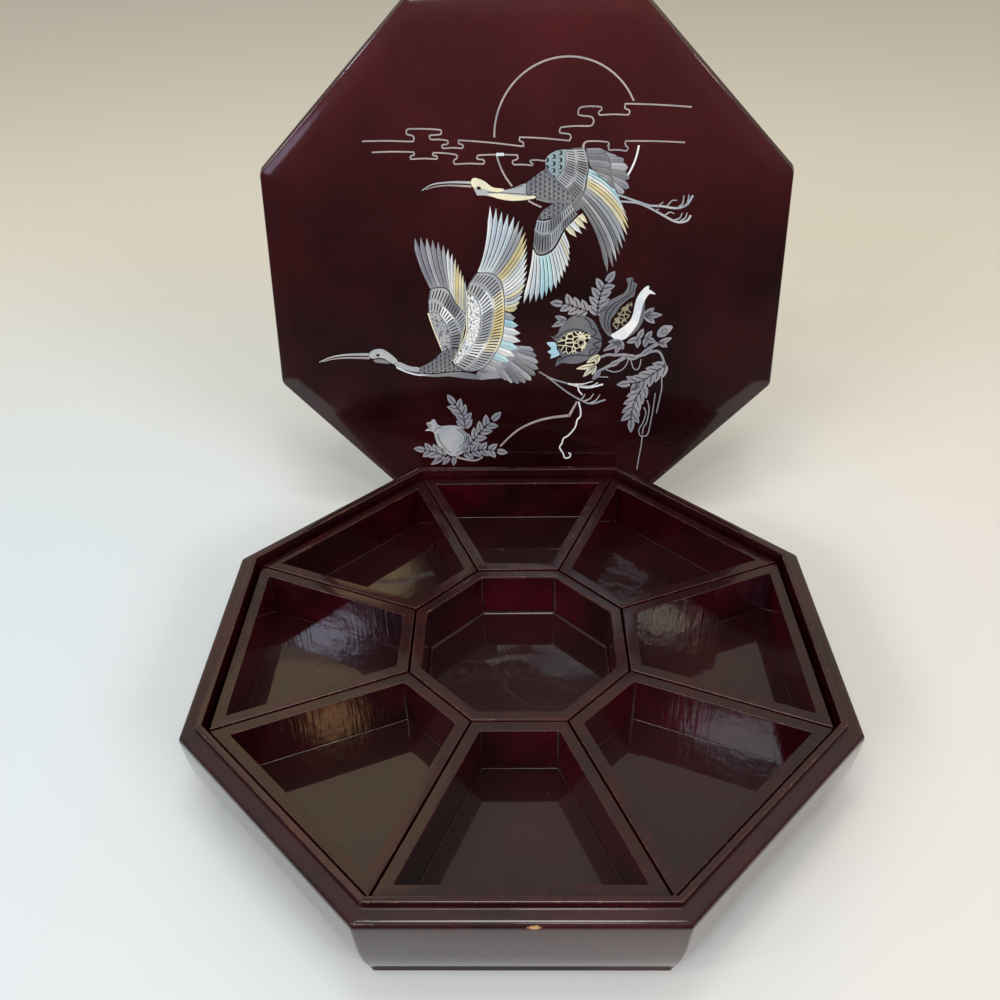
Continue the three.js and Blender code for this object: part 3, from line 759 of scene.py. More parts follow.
@dataclass
class Trays:
    """Nine loose trays: an octagon in the middle and eight trapezoids round it."""

    finishes: Finishes
    centre_half: float = 56.75
    outer_half: float = 151.6
    gap: float = 1.0
    wall: float = 6.1
    bottom: float = 15.1
    floor_top: float = 21.1
    top: float = 48.5
    floor_bead: float = 2.0
    bead_steps: int = 4
    inner_corner: float = 0.9
    corner_steps: int = 3
    edge_round: float = 0.9
    edge_steps: int = 2
    edge_degrees: float = 50.0
    outer_degrees: float = 40.0
    level_normal: float = 0.999

    def centre_outline(self) -> list[Point]:
        """Gives the corners of the middle tray.

        Returns:
            The corners in turn, in millimetres.
        """
        radius = self.centre_half / math.cos(HALF_TURN)
        angles = [(2 * i + 1) * HALF_TURN for i in range(SIDES)]
        return [(radius * math.cos(a), radius * math.sin(a)) for a in angles]

    def side_outline(self) -> list[Point]:
        """Gives the corners of the side tray that lies towards +X.

        Returns:
            The corners in turn, in millimetres.
        """
        near = self.centre_half + self.gap
        far = self.outer_half
        inset = self.gap / 2 / math.cos(HALF_TURN)
        low, high = (x * math.tan(HALF_TURN) - inset for x in (near, far))
        return [(near, -low), (far, -high), (far, high), (near, low)]

    def block(self, name: str, outline: Knots) -> bpy.types.Object:
        """Models a block that is inset and hollowed, and leaves it in edit mode.

        Args:
            name: Name of the tray.
            outline: Corners of the tray, in millimetres.

        Returns:
            The hollow block.
        """
        deselect()
        bpy.ops.mesh.primitive_circle_add(vertices=len(outline), radius=1, fill_type="NGON")
        piece = begin(name)
        for vertex, (x, y) in zip(piece.data.vertices, outline):
            vertex.co = (x * MM, y * MM, self.bottom * MM)
        for material in (self.finishes.tray, self.finishes.edge, self.finishes.floor, self.finishes.top):
            piece.data.materials.append(material)
        bpy.ops.object.mode_set(mode="EDIT")
        bpy.ops.mesh.select_mode(type="FACE")
        bpy.ops.mesh.select_all(action="SELECT")
        height = (self.top - self.bottom) * MM
        bpy.ops.mesh.extrude_region_move(TRANSFORM_OT_translate={"value": (0, 0, height)})
        bpy.ops.mesh.inset(thickness=self.wall * MM, use_even_offset=True)
        depth = (self.top - self.floor_top) * MM
        bpy.ops.mesh.extrude_region_move(TRANSFORM_OT_translate={"value": (0, 0, -depth)})
        bpy.ops.mesh.select_all(action="SELECT")
        bpy.ops.mesh.normals_make_consistent(inside=False)
        return piece

    def tray(self, name: str, outline: Knots) -> bpy.types.Object:
        """Models one tray: a hollow block with beads inside and lighter edges on top, partly worn and partly
        painted highlight.

        Args:
            name: Name of the tray.
            outline: Corners of the tray, in millimetres.

        Returns:
            The finished tray.
        """
        piece = self.block(name, outline)
        floor, rim = self.floor_top * MM, self.top * MM

        def joins(edge: bmesh.types.BMEdge, low: float, high: float) -> bool:
            """Tells whether an edge's lower end is at one height and its upper end at another."""
            heights = sorted(vertex.co.z for vertex in edge.verts)
            return abs(heights[0] - low) < SAME_HEIGHT and abs(heights[1] - high) < SAME_HEIGHT

        select_edges(piece, lambda edge: joins(edge, floor, rim))
        bevel_selected(self.inner_corner, self.corner_steps, Slot.FLOOR)
        # The beads take the floor's lacquer, and the rim's rounded edges take the edge lacquer, whose lighter
        # colour is partly painted highlight.
        for height, width, steps, slot in ((floor, self.floor_bead, self.bead_steps, Slot.FLOOR),
                                           (rim, self.edge_round, self.edge_steps, Slot.EDGE)):
            select_edges(piece, lambda edge: is_sharp(edge, self.edge_degrees)
                         and joins(edge, height, height))
            bevel_selected(width, steps, slot)
        select_edges(piece, lambda edge: is_sharp(edge, self.outer_degrees))
        bevel_selected(self.edge_round, self.edge_steps)
        bpy.ops.object.mode_set(mode="OBJECT")
        middle = (self.floor_top + self.top) / 2 * MM
        for polygon in piece.data.polygons:
            if polygon.normal.z > self.level_normal:
                polygon.material_index = Slot.FLOOR if polygon.center.z < middle else Slot.TOP
        return piece

    def build(self) -> None:
        """Models the middle tray and one side tray, and copies that one round."""
        centre = self.tray("centre_tray", self.centre_outline())
        soften(centre)
        settle(centre, "centre_tray", "tray_lacquer", "centre_tray_walls", "centre_tray_floor")
        first = self.tray("side_tray_1", self.side_outline())
        soften(first)
        copies = [first]
        for i in range(1, SIDES):
            copy = first.copy()
            copy.data = first.data.copy()
            bpy.context.collection.objects.link(copy)
            copy.rotation_euler.z = 2 * i * HALF_TURN
            activate(copy)
            begin(f"side_tray_{i + 1}")
            bpy.ops.object.transform_apply(location=True, rotation=True, scale=True)
            copies.append(copy)
        for i, tray in enumerate(copies):
            name = f"side_tray_{i + 1}"
            settle(tray, name, "tray_lacquer", f"{name}_walls", f"{name}_floor")


# The lid


@dataclass
class Lid:
    """The lid, modelled face up with its rim at zero height, then stood up behind the base."""

    finishes: Finishes
    rim_half: float = 165.0
    inner_half: float = 157.6
    side_height: float = 12.0
    panel_bottom: float = 12.1
    depth: float = 18.1
    flare: float = 2.6
    rim_round: float = 1.0
    edge_height: float = 2.2
    edge_round: float = 1.6
    bevel_width: float = 11.5
    bevel_drop: float = 2.1
    corner_round: float = 2.0
    corner_steps: int = 3
    side_steps: int = 6
    arris_round: float = 0.5
    arris_steps: int = 2
    arris_degrees: float = 60.0
    place_mm: tuple[float, float] = (5.5, 217.18)
    seat_gap: float = 0.2
    lean: float = math.radians(10.83)
    turn: float = math.radians(-1.56)

    def stand(self) -> Matrix:
        """Gives the place of the lid, from lying face up to standing.

        Returns:
            The turn and the move, in metres.
        """
        lowest = self.rim_half * math.cos(self.lean) - self.rim_round * math.sin(self.lean) + self.seat_gap
        move = Matrix.Translation(Vector((*self.place_mm, lowest)) * MM)
        return move @ Matrix.Rotation(self.turn, 4, "Z") @ Matrix.Rotation(math.pi / 2 - self.lean, 4, "X")

    def profile(self) -> list[Point]:
        """Gives the lid's section from the middle of its inside round to the flat of its face.

        Returns:
            Half width across flats and height of each point, in millimetres.
        """
        panel = self.rim_half - self.flare
        foot = self.depth - self.bevel_drop
        side = curve_between((self.rim_half, self.rim_round), (self.rim_half, self.side_height / 2),
                             (panel, self.side_height), self.side_steps)
        inside = [(self.inner_half, self.panel_bottom), (self.inner_half, 0.0)]
        edge = [(panel, self.panel_bottom + self.edge_height)]
        edge += [(panel - self.edge_round / 3, foot - self.edge_round / 3), (panel - self.edge_round, foot)]
        flat = [(panel - self.edge_round - self.bevel_width, self.depth)]
        return inside + [(self.rim_half - self.rim_round, 0.0)] + side + edge + flat

    def place(self, piece: bpy.types.Object) -> None:
        """Stands a piece that was modelled on the lying lid, and fixes its place in its mesh.

        Args:
            piece: Piece to stand.
        """
        piece.matrix_world = self.stand()
        activate(piece)
        bpy.ops.object.transform_apply(location=True, rotation=True, scale=True)

    def build(self) -> None:
        """Models the panel and sides as the one lacquered body that they show."""
        body = octagon_turning("lid_body", self.profile(), closed=False)
        body.data.materials.append(self.finishes.lid)
        select_edges(body, is_corner)
        bevel_selected(self.corner_round, self.corner_steps)
        select_edges(body, lambda edge: is_sharp(edge, self.arris_degrees))
        bevel_selected(self.arris_round, self.arris_steps)
        bpy.ops.object.mode_set(mode="OBJECT")
        soften(body)
        self.place(body)
        settle(body, "lid", "box_lacquer", "lid_panel", *(f"lid_side_{i + 1}" for i in range(SIDES)))


# The inlay


def smooth_line(knots: Knots, step: float = 1.2, closed: bool = False) -> list[Vector]:
    """Draws a smooth line through knots, with points at even spacing.

    Args:
        knots: Points that the line passes through.
        step: Spacing of the points, in millimetres.
        closed: True where the line returns to its start.

    Returns:
        The points. A closed line doesn't repeat its first one.
    """
    points = [Vector(knot) for knot in knots]
    count = len(points)
    fine: list[Vector] = []
    for i in range(count if closed else count - 1):
        if closed:
            before, start, end, after = (points[(i + k) % count] for k in (-1, 0, 1, 2))
        else:
            start, end = points[i], points[i + 1]
            before = points[i - 1] if i else start * 2 - end
            after = points[i + 2] if i + 2 < count else end * 2 - start
        for k in range(FINE_STEPS):
            t = k / FINE_STEPS
            fine.append(0.5 * (2 * start + (end - before) * t
                               + (2 * before - 5 * start + 4 * end - after) * t * t
                               + (3 * start - before - 3 * end + after) * t ** 3))
    fine.append(fine[0].copy() if closed else points[-1])
    reach = [0.0]
    for a, b in zip(fine, fine[1:]):
        reach.append(reach[-1] + (b - a).length)
    pieces = max(2, round(reach[-1] / step))
    line = []
    k = 0
    for i in range(pieces if closed else pieces + 1):
        target = reach[-1] * i / pieces
        while k < len(reach) - 2 and reach[k + 1] < target:
            k += 1
        span = reach[k + 1] - reach[k]
        line.append(fine[k].lerp(fine[k + 1], (target - reach[k]) / span if span else 0.0))
    return line


class Track:
    """A smooth line that gives a point at any share of its length."""

    def __init__(self, knots: Knots) -> None:
        """Draws the line through its knots."""
        self.points = smooth_line(knots, TRACK_STEP)

    def at(self, share: float) -> Vector:
        """Gives a point of the line.

        Args:
            share: Share of the length, from zero to one.

        Returns:
            The point.
        """
        place = min(max(share, 0.0), 1.0) * (len(self.points) - 1)
        k = min(int(place), len(self.points) - 2)
        return self.points[k].lerp(self.points[k + 1], place - k)


class Tip(Enum):
    """How a feather ends."""

    POINT = "point"
    ROUND = "round"


@dataclass(frozen=True)
class Fan:
    """Feathers side by side from a root line to a tip line, one to each tint."""

    roots: Knots
    tips: Knots
    tints: Sequence[Tint]
    bend: tuple[float, float] = (0.0, 0.0)
    tip: Tip = Tip.POINT
    narrows_at: float = 0.8
    gap: float = 0.5
    opens_by: float = 0.12
    steps: int = 10
    least_half: float = 0.04

    def spine(self, share: float) -> list[Vector]:
        """Gives the line of a feather.

        Args:
            share: Its place in the fan's breadth, from zero to one.

        Returns:
            Points from its root to its tip.
        """
        root, tip = Track(self.roots).at(share), Track(self.tips).at(share)
        along = tip - root
        bow = self.bend[0] + (self.bend[1] - self.bend[0]) * share
        across = Vector((-along.y, along.x)).normalized() * 2 * bow
        bend = (root + tip) / 2 + across
        return [Vector(p) for p in curve_between(tuple(root), tuple(bend), tuple(tip), self.steps)]

    def fullness(self, share: float) -> float:
        """Gives how broad a feather is.

        Args:
            share: Share of its length.

        Returns:
            Share of its full breadth.
        """
        past = max(0.0, (share - self.narrows_at) / (1 - self.narrows_at))
        if self.tip is Tip.ROUND:
            return math.sqrt(max(0.0, 1 - past * past))
        return 1 - past

    def blades(self) -> Iterable[tuple[list[Vector], list[Vector], Tint]]:
        """Lays the feathers side by side.

        Returns:
            The left edge, right edge and tint of each feather in turn.
        """
        count = len(self.tints)
        lines = [self.spine(i / (2 * count)) for i in range(2 * count + 1)]
        for i, tint in enumerate(self.tints):
            left, middle, right = lines[2 * i:2 * i + 3]
            edges: tuple[list[Vector], list[Vector]] = ([], [])
            for k, centre in enumerate(middle):
                share = k / (len(middle) - 1)
                trim = self.gap / 2 * min(1.0, share / self.opens_by)
                for edge, side in zip(edges, (left[k], right[k])):
                    half = side - centre
                    kept = max(0.0, half.length - trim) * self.fullness(share)
                    edge.append(centre + half.normalized() * max(kept, self.least_half))
            yield edges[0], edges[1], tint


class Drawing:
    """Plates of shell drawn on the lying lid's face in millimetres and built as one piece."""

    film: float = 0.05
    thickness: float = 0.3
    lift: float = 0.06
    closest: float = 0.05
    band_steps: int = 8
    leaf_steps: int = 10
    leaf_root: float = 0.2
    leaf_power: float = 0.85
    leaf_least: float = 0.06
    stem_reach: float = 0.03
    stem_width: float = 0.35

    def __init__(self, lid: Lid, finishes: Finishes) -> None:
        """Starts an empty drawing.

        Args:
            lid: Lid that it lies on.
            finishes: Finishes to draw with.
        """
        self.lid = lid
        self.finishes = finishes
        self.vertices: list[tuple[float, float, float]] = []
        self.faces: list[tuple[int, ...]] = []
        self.uvs: list[list[Point]] = []
        self.slots: list[int] = []
        self.materials: list[bpy.types.Material] = []

    def slot(self, tint: Tint, cut: Cut) -> int:
        """Gives the material slot of a tint and engraving.

        Args:
            tint: Colour of the plate.
            cut: Engraving of the plate.

        Returns:
            Number of the slot, which is added on first use.
        """
        material = self.finishes.shell(tint, cut)
        if material not in self.materials:
            self.materials.append(material)
        return self.materials.index(material)

    def add(self, rim: Sequence[Vector], tops: Sequence[tuple[int, ...]], uv: Sequence[Point], slot: int,
            layer: int) -> None:
        """Adds one closed plate.

        Args:
            rim: Points of the plate's edge, in order.
            tops: Faces of its top, as numbers of points in the rim.
            uv: Place of each point in the UV map.
            slot: Material slot.
            layer: How many plates lie under it.
        """
        area = sum(a.x * b.y - b.x * a.y for a, b in zip(rim, [*rim[1:], rim[0]]))
        count = len(rim)
        start = len(self.vertices)
        low = self.lid.depth - self.film
        high = self.lid.depth + self.thickness + layer * self.lift
        for height in (high, low):
            self.vertices += [(p.x * MM, p.y * MM, height * MM) for p in rim]
        turn = 1 if area > 0 else -1
        for top in tops:
            for face, offset in ((top[::turn], 0), (top[::-turn], count)):
                self.faces.append(tuple(start + offset + k for k in face))
                self.uvs.append([uv[k] for k in face])
                self.slots.append(slot)
        for k in range(count):
            after = (k + 1) % count
            side = (k, k + count, after + count, after)[::turn]
            self.faces.append(tuple(start + m for m in side))
            self.uvs.append([uv[m % count] for m in side])
            self.slots.append(slot)

    def plate(self, tint: Tint, *sides: Knots, cut: Cut = Cut.PLAIN, layer: int = 0,
              step: float = 1.0) -> None:
        """Adds a plate with smooth sides.

        Args:
            tint: Colour of the plate.
            sides: Knots of each side in turn, with a corner between two. A lone side closes on itself.
            cut: Engraving of the plate.
            layer: How many plates lie under it.
            step: Spacing of the outline's points.
        """
        if len(sides) == 1:
            rim = smooth_line(sides[0], step, closed=True)
        else:
            line = [point for side in sides for point in smooth_line(side, step)]
            rim = [point for k, point in enumerate(line) if (point - line[k - 1]).length > self.closest]
        uv = [(p.x / MM_PER_CM, p.y / MM_PER_CM) for p in rim]
        self.add(rim, [tuple(range(len(rim)))], uv, self.slot(tint, cut), layer)

    def ribbon(self, left: Sequence[Vector], right: Sequence[Vector], slot: int, layer: int = 0,
               ends: tuple[float, float] = (0.0, 1.0)) -> None:
        """Adds a plate between two edges that run the same way.

        Args:
            left: Points of the left edge.
            right: Points of the right edge, as many.
            slot: Material slot.
            layer: How many plates lie under it.
            ends: Place in the UV map along it, at its start and its end.
        """
        count = len(left)
        rim = [*left, *reversed(right)]
        last = 2 * count - 1
        tops = [(k, k + 1, last - k - 1, last - k) for k in range(count - 1)]
        reach = [ends[0] + (ends[1] - ends[0]) * k / (count - 1) for k in range(count)]
        uv = [(0.0, r) for r in reach] + [(1.0, r) for r in reversed(reach)]
        self.add(rim, tops, uv, slot, layer)

    def line(self, tint: Tint, knots: Knots, start: float, end: float, layer: int = 0,
             step: float = 0.7) -> None:
        """Adds a thin strip along a smooth line.

        Args:
            tint: Colour of the strip.
            knots: Points of the middle line.
            start: Width at its start.
            end: Width at its end.
            layer: How many plates lie under it.
            step: Spacing of its points.
        """
        middle = smooth_line(knots, step)
        left, right = [], []
        for k, point in enumerate(middle):
            along = (middle[min(k + 1, len(middle) - 1)] - middle[max(k - 1, 0)]).normalized()
            across = Vector((-along.y, along.x))
            half = (start + (end - start) * k / (len(middle) - 1)) / 2
            left.append(point + across * half)
            right.append(point - across * half)
        self.ribbon(left, right, self.slot(tint, Cut.PLAIN), layer)

    def engrave(self, *lines: Knots, width: float = 0.4) -> None:
        """Adds fine dark lines on top of a plate."""
        for knots in lines:
            self.line(Tint.DARK, knots, width, width, layer=2)

    def fan(self, fan: Fan) -> None:
        """Adds the feathers of a fan."""
        for left, right, tint in fan.blades():
            self.ribbon(left, right, self.slot(tint, Cut.BLADE))

    def band(self, inner: Knots, outer: Knots, strokes: int, tints: Sequence[Tint]) -> None:
        """Adds a curved band of small feathers, engraved across with strokes.

        Args:
            inner: Inner edge of the band.
            outer: Outer edge, run the same way.
            strokes: Number of strokes.
            tints: Colours along the band, in turn.
        """
        near, far = Track(inner), Track(outer)
        for i, tint in enumerate(tints):
            shares = [(i + k / self.band_steps) / len(tints) for k in range(self.band_steps + 1)]
            left, right = ([track.at(share) for share in shares] for track in (near, far))
            self.ribbon(left, right, self.slot(tint, Cut.STROKES),
                        ends=(2 * strokes * shares[0], 2 * strokes * shares[-1]))

    def spray(self, stem: Knots, pairs: int, length: float, breadth: float, tint: Tint = Tint.LILAC,
              spread: float = 50.0) -> None:
        """Adds a stem with leaves in pairs and one at its end.

        Args:
            stem: Points of the stem.
            pairs: Number of pairs.
            length: Length of a leaf.
            breadth: Breadth of a leaf.
            tint: Colour of the leaves.
            spread: Angle between a leaf and the stem, in degrees.
        """
        track = Track(stem)
        places = [(i / pairs, angle, i % 2) for i in range(pairs) for angle in (spread, -spread)]
        for share, angle, layer in [*places, (1.0, 0.0, pairs % 2)]:
            root = track.at(share)
            along = (track.at(share + self.stem_reach) - track.at(share - self.stem_reach)).normalized()
            heading = Matrix.Rotation(math.radians(angle), 2) @ along
            self.leaf(tint, root, root + heading * length, breadth, layer)
        self.engrave(stem, width=self.stem_width)

    def leaf(self, tint: Tint, root: Sequence[float], tip: Sequence[float], breadth: float,
             layer: int = 0) -> None:
        """Adds one leaf, broad from its root and pointed at its tip.

        Args:
            tint: Its colour.
            root: Where the leaf starts.
            tip: Where it ends.
            breadth: Its full breadth.
            layer: How many leaves lie under it.
        """
        start = Vector(root)
        along = Vector(tip) - start
        across = Vector((-along.y, along.x)).normalized()
        left, right = [], []
        for k in range(self.leaf_steps + 1):
            share = k / self.leaf_steps
            angle = math.pi * (self.leaf_root + (1 - self.leaf_root) * share)
            swell = math.sin(angle) ** self.leaf_power * breadth / 2 if share < 1 else 0.0
            half = max(swell, self.leaf_least)
            left.append(start + along * share + across * half)
            right.append(start + along * share - across * half)
        self.ribbon(left, right, self.slot(tint, Cut.LEAF), layer)

    def build(self, name: str, solid: bool = True) -> None:
        """Makes the piece and stands it on the lid.

        Args:
            name: Name of the piece, and of the plain solid that it stands for.
            solid: False where there is no such solid.
        """
        mesh = bpy.data.meshes.new(name)
        mesh.from_pydata(self.vertices, [], self.faces)
        layer = mesh.uv_layers.new(name="engraving")
        for polygon, uvs, slot in zip(mesh.polygons, self.uvs, self.slots):
            polygon.material_index = slot
            for loop, uv in zip(polygon.loop_indices, uvs):
                layer.data[loop].uv = uv
        for material in self.materials:
            mesh.materials.append(material)
        piece = bpy.data.objects.new(name, mesh)
        bpy.context.collection.objects.link(piece)
        self.lid.place(piece)
        settle(piece, "lid", "shell", *([name] if solid else []))


@dataclass
class Motif:
    """A part of the picture on the lid."""

    lid: Lid
    finishes: Finishes

    def drawing(self) -> Drawing:
        """Starts an empty drawing on the lid."""
        return Drawing(self.lid, self.finishes)


@dataclass
class Sky(Motif):
    """The moon and the cloud lines across it, in bent strips of shell."""

    moon_at: Point = (25.5, 87.3)
    moon_radius: float = 43.2
    ring_width: float = 1.05
    knot_degrees: float = 8.0
    fewest_knots: int = 3
    cloud_width: float = 0.85
    cloud_bow: float = 0.3
    cloud_step: float = 0.5
    hook_degrees: tuple[float, ...] = (-45, 0, 45, 90)

    def arc(self, start: float, end: float) -> list[Point]:
        """Gives knots of an arc of the moon's ring.

        Args:
            start: Angle where the arc starts, in degrees.
            end: Angle where it ends, in degrees.

        Returns:
            The knots.
        """
        count = max(self.fewest_knots, int(abs(end - start) / self.knot_degrees))
        angles = [math.radians(start + (end - start) * i / count) for i in range(count + 1)]
        x, y = self.moon_at
        return [(x + self.moon_radius * math.cos(a), y + self.moon_radius * math.sin(a)) for a in angles]

    def cloud(self, runs: Sequence[tuple[float, float, float, float]]) -> list[Point]:
        """Gives knots of a cloud line.

        Args:
            runs: Start and end of each nearly level run, which ends in a hook back to the next one.

        Returns:
            The knots.
        """
        knots: list[Point] = []
        for i, (start, rise, end, fall) in enumerate(runs):
            knots += [(start, rise), ((start + end) / 2, (rise + fall) / 2 + self.cloud_bow), (end, fall)]
            if i + 1 < len(runs):
                after, height = runs[i + 1][:2]
                hook = (height - fall) / 4
                for x, middle, side in ((end, fall + hook, 1), (after, fall + 3 * hook, -1)):
                    for angle in map(math.radians, self.hook_degrees):
                        knots.append((x + side * abs(hook) * math.cos(angle),
                                      middle + hook * math.sin(angle)))
                knots.pop()
        return knots

    def build(self) -> None:
        """Draws the three arcs of the moon and the three cloud lines."""
        for name, tint, arcs in (("moon_upper_arc", Tint.WIRE, [(180.5, 26.5)]),
                                 ("moon_left_arc", Tint.WIRE, [(194, 221), (238, 250)]),
                                 ("moon_right_arc", Tint.WHITE, [(353, 328)])):
            ring = self.drawing()
            for start, end in arcs:
                ring.line(tint, self.arc(start, end), self.ring_width, self.ring_width)
            ring.build(name)
        clouds = {
            "cloud_upper_line": [
                (-97, 85.3, -67.5, 85), (-68.5, 92, -50.5, 91.5), (-55, 86, -46.5, 85.5),
                (-48, 81, -37.5, 81), (-38, 85.5, -1.5, 82), (-1.5, 87, 26, 85),
                (23, 92.5, 38.5, 93), (34.5, 103.5, 44.5, 103.5), (45, 99, 60.5, 99),
                (60.5, 105, 98, 103)],
            "cloud_lower_line": [
                (-91.5, 79, -67, 79), (-67.5, 75, -53, 75), (-54, 78.5, -41.5, 77.5),
                (-41, 72, -25, 72), (-27, 77, -5, 77), (-5.5, 71.5, 4.5, 71),
                (4.5, 74, 12.5, 73.5)],
            "cloud_right_line": [
                (37.5, 84.5, 49.5, 84), (51.5, 79.5, 60.5, 79), (61.5, 84.5, 95.5, 83.5)],
        }
        for name, runs in clouds.items():
            cloud = self.drawing()
            cloud.line(Tint.WIRE, self.cloud(runs), self.cloud_width, self.cloud_width,
                       step=self.cloud_step)
            if name == "cloud_lower_line":
                cloud.line(Tint.WHITE, [(-16.5, 77.4), (-12, 77.4)], 1.7, 1.7, layer=1)
            if name == "cloud_right_line":
                cloud.line(Tint.WIRE, [(35.3, 80.6), (35.8, 83.2), (37.5, 84.5)], 1.6, 0.85)
            cloud.build(name)


class UpperCrane(Motif):
    """The crane that flies under the moon with its wings down."""

    def body(self) -> None:
        """Draws the bill, head, neck and scaled breast."""
        bird = self.drawing()
        bird.line(Tint.SILVER, [
            (-62.3, 56.8), (-56, 60.2), (-47, 61.4), (-38, 61.5), (-32, 61.2)], 0.5, 1.5)
        bird.line(Tint.WIRE, [(-60, 57.3), (-54, 59), (-46, 59.7), (-38, 59.4), (-32, 59.1)], 0.4, 1.3)
        bird.plate(Tint.SLATE, [
            (1.8, 60.6), (12, 67.6), (14, 75), (25, 79.6), (36, 80), (38.6, 69), (37, 56), (35, 46.5),
            (31, 43), (26, 34), (19, 40), (10, 40), (12, 45), (18, 49), (2.2, 54.6)], layer=-1)
        bird.plate(
            Tint.SILVER, [(-31, 58.6), (-24, 58), (-14, 56.8), (-6, 58.4), (1.2, 60.8)],
            [(1.2, 60.8), (1.6, 54), (7, 52), (0, 51.2), (-8, 50.9), (-15, 52), (-23, 53.6), (-28.6, 53.8)])
        bird.plate(Tint.CREAM, [
            (-32, 62.5), (-29.5, 64), (-24, 62), (-19, 58.5), (-12, 57.4), (-16, 55.6), (-24, 57.3),
            (-31, 58.7)], layer=1)
        bird.plate(Tint.DARK, [
            (-28.6, 58.9), (-26.6, 58.8), (-26.2, 57.4), (-28.2, 57.3)], layer=2, step=0.5)
        bird.plate(Tint.CREAM, [
            (-21, 53.6), (-22, 54.6), (-13, 54.6), (-2, 53.4), (6, 53.4), (7, 52.2), (0, 50.9), (-8, 50.6),
            (-15, 51.7)], layer=1)
        bird.engrave(
            [(-22, 55.6), (-14, 55.4), (-6, 54.8), (1, 54.4)], [(-12, 57), (-6, 58.2), (0, 59.4)],
            width=0.3)
        bird.plate(
            Tint.GREY, [(1.6, 61), (7, 65), (12, 68.1), (15.4, 64.8), (19, 62.6)],
            [(19, 62.6), (24.6, 57), (29, 53), (31.5, 49.5)],
            [(31.5, 49.5), (25, 50.4), (15, 51.2), (8, 52.8), (2, 54.4)], [(2, 54.4), (1.6, 61)],
            cut=Cut.SCALES)
        bird.plate(
            Tint.GREY, [(7.6, 52.2), (15, 50.8), (25, 50), (31.4, 49.1)],
            [(31.4, 49.1), (24, 48.6), (15, 49.3), (7.6, 51)])
        bird.build("upper_crane_body")

    def near_wing(self) -> None:
        """Draws the wing on this side, with its long feathers sweeping down."""
        wing = self.drawing()
        first = [(24.5, 80), (25.5, 75.5), (24.5, 69.5), (21, 64.5), (19.5, 63)]
        second = [(31, 80), (32, 73.5), (31.5, 67.5), (29.5, 61), (26, 57.5)]
        edge = [(36, 80.5), (38, 74), (39, 69), (37.5, 63), (36.5, 56.5), (32, 49)]
        wing.plate(
            Tint.TEAL, [(24.2, 80), (18.5, 79), (13.5, 75.5), (13, 72), (15.5, 67.5), (19.2, 63.5)],
            [(19.2, 63.5), (20.6, 64.9), (24, 69.5), (25, 75.5), (24.2, 80)], cut=Cut.PLUMES)
        wing.band(first, second, 15, Tint.row("SILVER LILAC SILVER"))
        wing.band(second, edge, 19, Tint.row("SILVER GREY SILVER GREY"))
        tints = Tint.row("CYAN CYAN WHITE CREAM GOLD CREAM SILVER SILVER GREY SILVER GREY GREY")
        wing.fan(Fan(
            [(39.2, 69), (38.4, 63), (37.4, 56.5), (33, 48.6)],
            [(58, 52), (63, 41.5), (64.5, 34), (62.5, 25), (59.5, 17.5), (55.5, 9.5), (50.5, 6.5)], tints,
            bend=(2.5, 3.5), narrows_at=0.84))
        wing.build("upper_crane_near_wing")

    def far_wing(self) -> None:
        """Draws the wing on the far side and the pale feathers between the two."""
        wing = self.drawing()
        first = [(8, 39), (13, 38.5), (19, 40.5), (24.5, 44.5), (29, 48.5)]
        second = [(6.5, 33), (11, 30), (17, 31.5), (23, 37.5), (31, 45.5)]
        edge = [(5.8, 23), (8.5, 18.3), (13.5, 18.5), (19, 23), (24.5, 33), (33, 42.5)]
        wing.plate(
            Tint.GREY, [(19.5, 49.7), (12.5, 45), (8.5, 39.8)],
            [(8.5, 39.8), (13, 39.3), (18.6, 41.2), (24, 45.1), (27.6, 49)], cut=Cut.SCALES)
        wing.band(first, second, 16, Tint.row("SILVER GREY SILVER"))
        wing.band(second, edge, 20, Tint.row("GREY SILVER GREY"))
        tints = Tint.row("WHITE MIST MIST CYAN CYAN CYAN MIST MIST WHITE WHITE WHITE CREAM WHITE WHITE")
        wing.fan(Fan(
            [(5.6, 21.5), (8.5, 17.5), (13.8, 17.7), (19.6, 22), (25, 32.2)],
            [(-2, -12.8), (7, -11.8), (12.3, -10.1), (15.5, -6.8), (21.3, -2.4), (25.3, 5.2), (28.6, 13),
             (28.5, 24)],
            tints, bend=(1, 0)))
        wing.fan(Fan(
            [(25.6, 33.4), (33.6, 41.6), (36, 43)], [(31, 27.6), (35.5, 30.4), (38.7, 34), (39.4, 39)],
            Tint.row("CREAM WHITE CREAM CREAM"), narrows_at=0.5))
        wing.build("upper_crane_far_wing")

    def tail(self) -> None:
        """Draws two rows of rounded tail feathers over a plain plate."""
        tail = self.drawing()
        tail.plate(Tint.SLATE, [
            (37.6, 79.6), (46, 80), (56, 75.6), (61, 70), (61, 62), (58, 55.6), (53, 58.5), (46, 66),
            (40.4, 70)], layer=-1)
        tail.fan(Fan(
            [(37, 80.6), (39.2, 75), (40, 70), (46, 63.5)],
            [(46.5, 81), (49, 77.5), (51.6, 73), (51.6, 69), (52.5, 64), (55.5, 56)],
            Tint.row("LILAC GREY LILAC GREY LILAC GREY"), tip=Tip.ROUND, narrows_at=0.7))
        tail.fan(Fan(
            [(48.6, 78.6), (52.2, 73.4), (52.6, 67.5), (55.4, 58)],
            [(51, 77), (55, 76.8), (61, 73.5), (62.6, 68), (64, 61.5), (62.5, 55), (57, 54)],
            Tint.row("SILVER LILAC SILVER GREY LILAC SILVER"), tip=Tip.ROUND, narrows_at=0.62))
        tail.build("upper_crane_tail")

